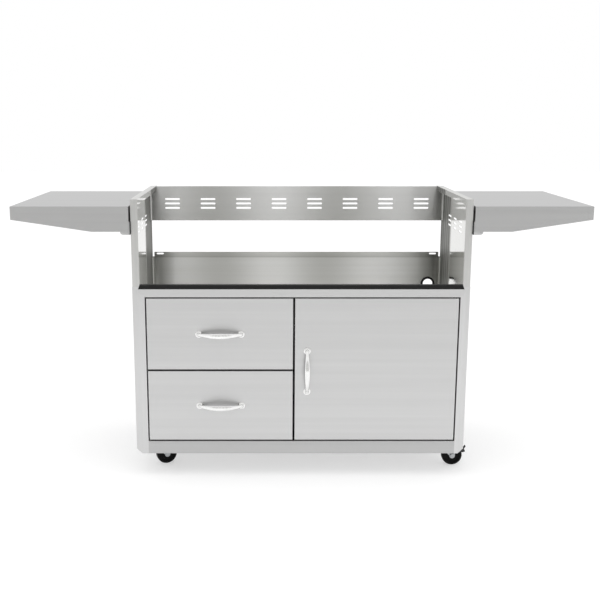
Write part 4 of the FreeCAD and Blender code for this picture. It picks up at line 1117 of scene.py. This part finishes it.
@dataclass
class Studio:
    """White sweep, striped screen behind the camera, soft lamp and camera; lengths in metres."""

    camera_place: tuple[float, float, float] = (-0.0995, -2.9581, 1.1406)
    pitch_deg: float = 11.8136
    lens_mm: float = 54.668
    shift_x: float = 0.0525
    sensor_mm: float = 36.0
    matt_light: float = 1.02
    floor_half: float = 14.0
    floor_glow: float = 0.46
    screen_y: float = -4.4
    screen_half: float = 3.2
    screen_height: float = 3.0
    stripe_pitch: float = 0.92
    stripe_phase: float = 3.48
    stripe_dark: str = "#C4C4C2"
    stripe_light: str = "#FAFAF8"
    lamp_place: tuple[float, float, float] = (0.0, -0.8, 3.4)
    lamp_aim: tuple[float, float, float] = (0.0, 0.0, 0.4)
    lamp_size: float = 3.2
    lamp_watts: float = 30.0

    def build(self) -> None:
        """Sets up everything round the cart."""
        self.set_world()
        self.lay_floor()
        self.stand_screen()
        self.hang_lamp()
        self.set_camera()
        bpy.context.scene.view_settings.view_transform = "Standard"

    def set_world(self) -> None:
        """White to the eye and in mirrors, and as light on matt surfaces."""
        world = bpy.data.worlds.new("studio_white")
        bpy.context.scene.world = world
        world.use_nodes = True
        tree = world.node_tree
        tree.nodes.clear()
        levels = {"To Min": self.matt_light, "To Max": 1.0}
        strength = add_node(tree, "ShaderNodeMapRange", levels, {"Value": self.seen(tree)})
        links = {"Strength": strength.outputs["Result"]}
        back = add_node(tree, "ShaderNodeBackground", {"Color": linear(WHITE)}, links)
        add_node(tree, "ShaderNodeOutputWorld", links={"Surface": back.outputs["Background"]})

    def seen(self, tree: bpy.types.NodeTree) -> bpy.types.NodeSocket:
        """One for what the camera sees, also in metal and glass, and zero for light on matt surfaces."""
        path = add_node(tree, "ShaderNodeLightPath")
        rays = path.outputs["Is Camera Ray"]
        for ray in ("Is Glossy Ray", "Is Transmission Ray"):
            links = {0: rays, 1: path.outputs[ray]}
            rays = add_node(tree, "ShaderNodeMath", {"operation": "MAXIMUM"}, links).outputs["Value"]
        return rays

    def stage_sheet(self, name: str, half_x: float, half_y: float, place: Matrix) -> bpy.types.Object:
        """Makes a flat sheet of the studio.

        Args:
            name: Name of the sheet.
            half_x: Half of its width.
            half_y: Half of its depth or height.
            place: Where it stands.

        Returns:
            The sheet.
        """
        shape = bmesh.new()
        bmesh.ops.create_grid(shape, x_segments=1, y_segments=1, size=1.0)
        bmesh.ops.scale(shape, verts=shape.verts, vec=(half_x, half_y, 1.0))
        bmesh.ops.transform(shape, verts=shape.verts, matrix=place)
        mesh = bpy.data.meshes.new(name)
        shape.to_mesh(mesh)
        shape.free()
        sheet = bpy.data.objects.new(name, mesh)
        bpy.context.scene.collection.objects.link(sheet)
        return sheet

    def lay_floor(self) -> None:
        """Pale floor that keeps the cart's shadow and meets the white behind it without an edge."""
        floor = self.stage_sheet("studio_floor", self.floor_half, self.floor_half, Matrix.Identity(4))
        # Paper sweep: matt white, so that only the soft shadow shows on it.
        look = {"Base Color": linear("#C8C8C8"), "Roughness": 0.9, "Emission Color": linear(WHITE)}
        material, tree, shader = new_material("paper_sweep_white", look)
        settings = {"operation": "MULTIPLY", 1: self.floor_glow}
        glow = add_node(tree, "ShaderNodeMath", settings, {0: self.seen(tree)})
        tree.links.new(glow.outputs["Value"], shader.inputs["Emission Strength"])
        floor.data.materials.append(material)

    def stand_screen(self) -> None:
        """Grey screen with soft pale stripes behind the camera, which the polished sheets mirror."""
        half_height = self.screen_height / 2
        middle = Matrix.Translation((0.0, self.screen_y, half_height))
        upright = middle @ Matrix.Rotation(math.pi / 2, 4, "X")
        screen = self.stage_sheet("studio_screen", self.screen_half, half_height, upright)
        # Woven cloth, quite matt: soft grey stripes and nothing sharp.
        look = {"Base Color": linear(self.stripe_light), "Roughness": 1.0}
        material, tree, shader = new_material("cloth_striped_grey", look)
        wave = {
            "bands_direction": "X",
            "Scale": wave_scale(self.stripe_pitch),
            "Phase Offset": self.stripe_phase,
        }
        place = add_node(tree, "ShaderNodeTexCoord").outputs["Object"]
        stripes = add_node(tree, "ShaderNodeTexWave", wave, {"Vector": place})
        stops = ((0.0, self.stripe_dark), (1.0, self.stripe_light))
        colour = add_node(tree, "ShaderNodeValToRGB", {"stops": stops}, {"Fac": stripes.outputs["Fac"]})
        tree.links.new(colour.outputs["Color"], shader.inputs["Base Color"])
        screen.data.materials.append(material)
        screen.visible_camera = False
        screen.visible_diffuse = False
        screen.visible_shadow = False

    def hang_lamp(self) -> None:
        """Large soft box over the cart, too far up to show in the sheets."""
        lamp = bpy.data.lights.new("top_box", "AREA")
        lamp.shape = "SQUARE"
        lamp.size = self.lamp_size
        lamp.energy = self.lamp_watts
        box = bpy.data.objects.new("top_box", lamp)
        box.location = self.lamp_place
        aim = Vector(self.lamp_aim) - box.location
        box.rotation_euler = aim.to_track_quat("-Z", "Y").to_euler()
        box.visible_glossy = False
        bpy.context.scene.collection.objects.link(box)

    def set_camera(self) -> None:
        """Camera at the height, distance and tilt of the photograph."""
        data = bpy.data.cameras.new("studio_camera")
        data.sensor_width = self.sensor_mm
        data.lens = self.lens_mm
        data.shift_x = self.shift_x
        camera = bpy.data.objects.new("studio_camera", data)
        camera.location = self.camera_place
        camera.rotation_euler = (math.radians(90.0 - self.pitch_deg), 0.0, 0.0)
        bpy.context.scene.collection.objects.link(camera)
        bpy.context.scene.camera = camera


def main() -> None:
    """Builds the cart's looks and the studio."""
    logging.basicConfig(level=logging.INFO, format="%(name)s: %(message)s")
    finishes = Finishes()
    SheetMetal(finishes).dress_all()
    SmallParts(finishes).dress_all()
    for node in ("upper_drawer_handle", "lower_drawer_handle"):
        BowHandle(node, upright=False, finishes=finishes).build()
    BowHandle("door_handle", upright=True, finishes=finishes).build()
    corners = ("front_left", "front_right", "rear_left", "rear_right")
    for corner in corners:
        CasterWheel(corner, finishes).build()
        SoftenedNode(f"{corner}_axle", finishes.zinc, width_mm=0.6).build()
    for corner in corners[:2]:
        BrakedFork(f"{corner}_fork", finishes.zinc, width_mm=0.5, second=finishes.lever).build()
        SoftenedNode(f"{corner}_brake_pedal", finishes.lever, width_mm=0.5).build()
    for corner in corners[2:]:
        SoftenedNode(f"{corner}_fork", finishes.zinc, width_mm=0.5).build()
    HoseGrommet(finishes).build()
    SoftenedNode("bay_edge_trim", finishes.rubber, width_mm=0.8, segments=3).build()
    for side in ("left", "right"):
        brackets = f"{side}_shelf_brackets"
        # Each bracket's black strip beside the cheek is painted shade in the gap beside its shelf.
        ShelfBracket(brackets, finishes.darkened_for_shade, width_mm=0.4, second=finishes.lever).build()
    Studio().build()


if __name__ == "__main__":
    main()
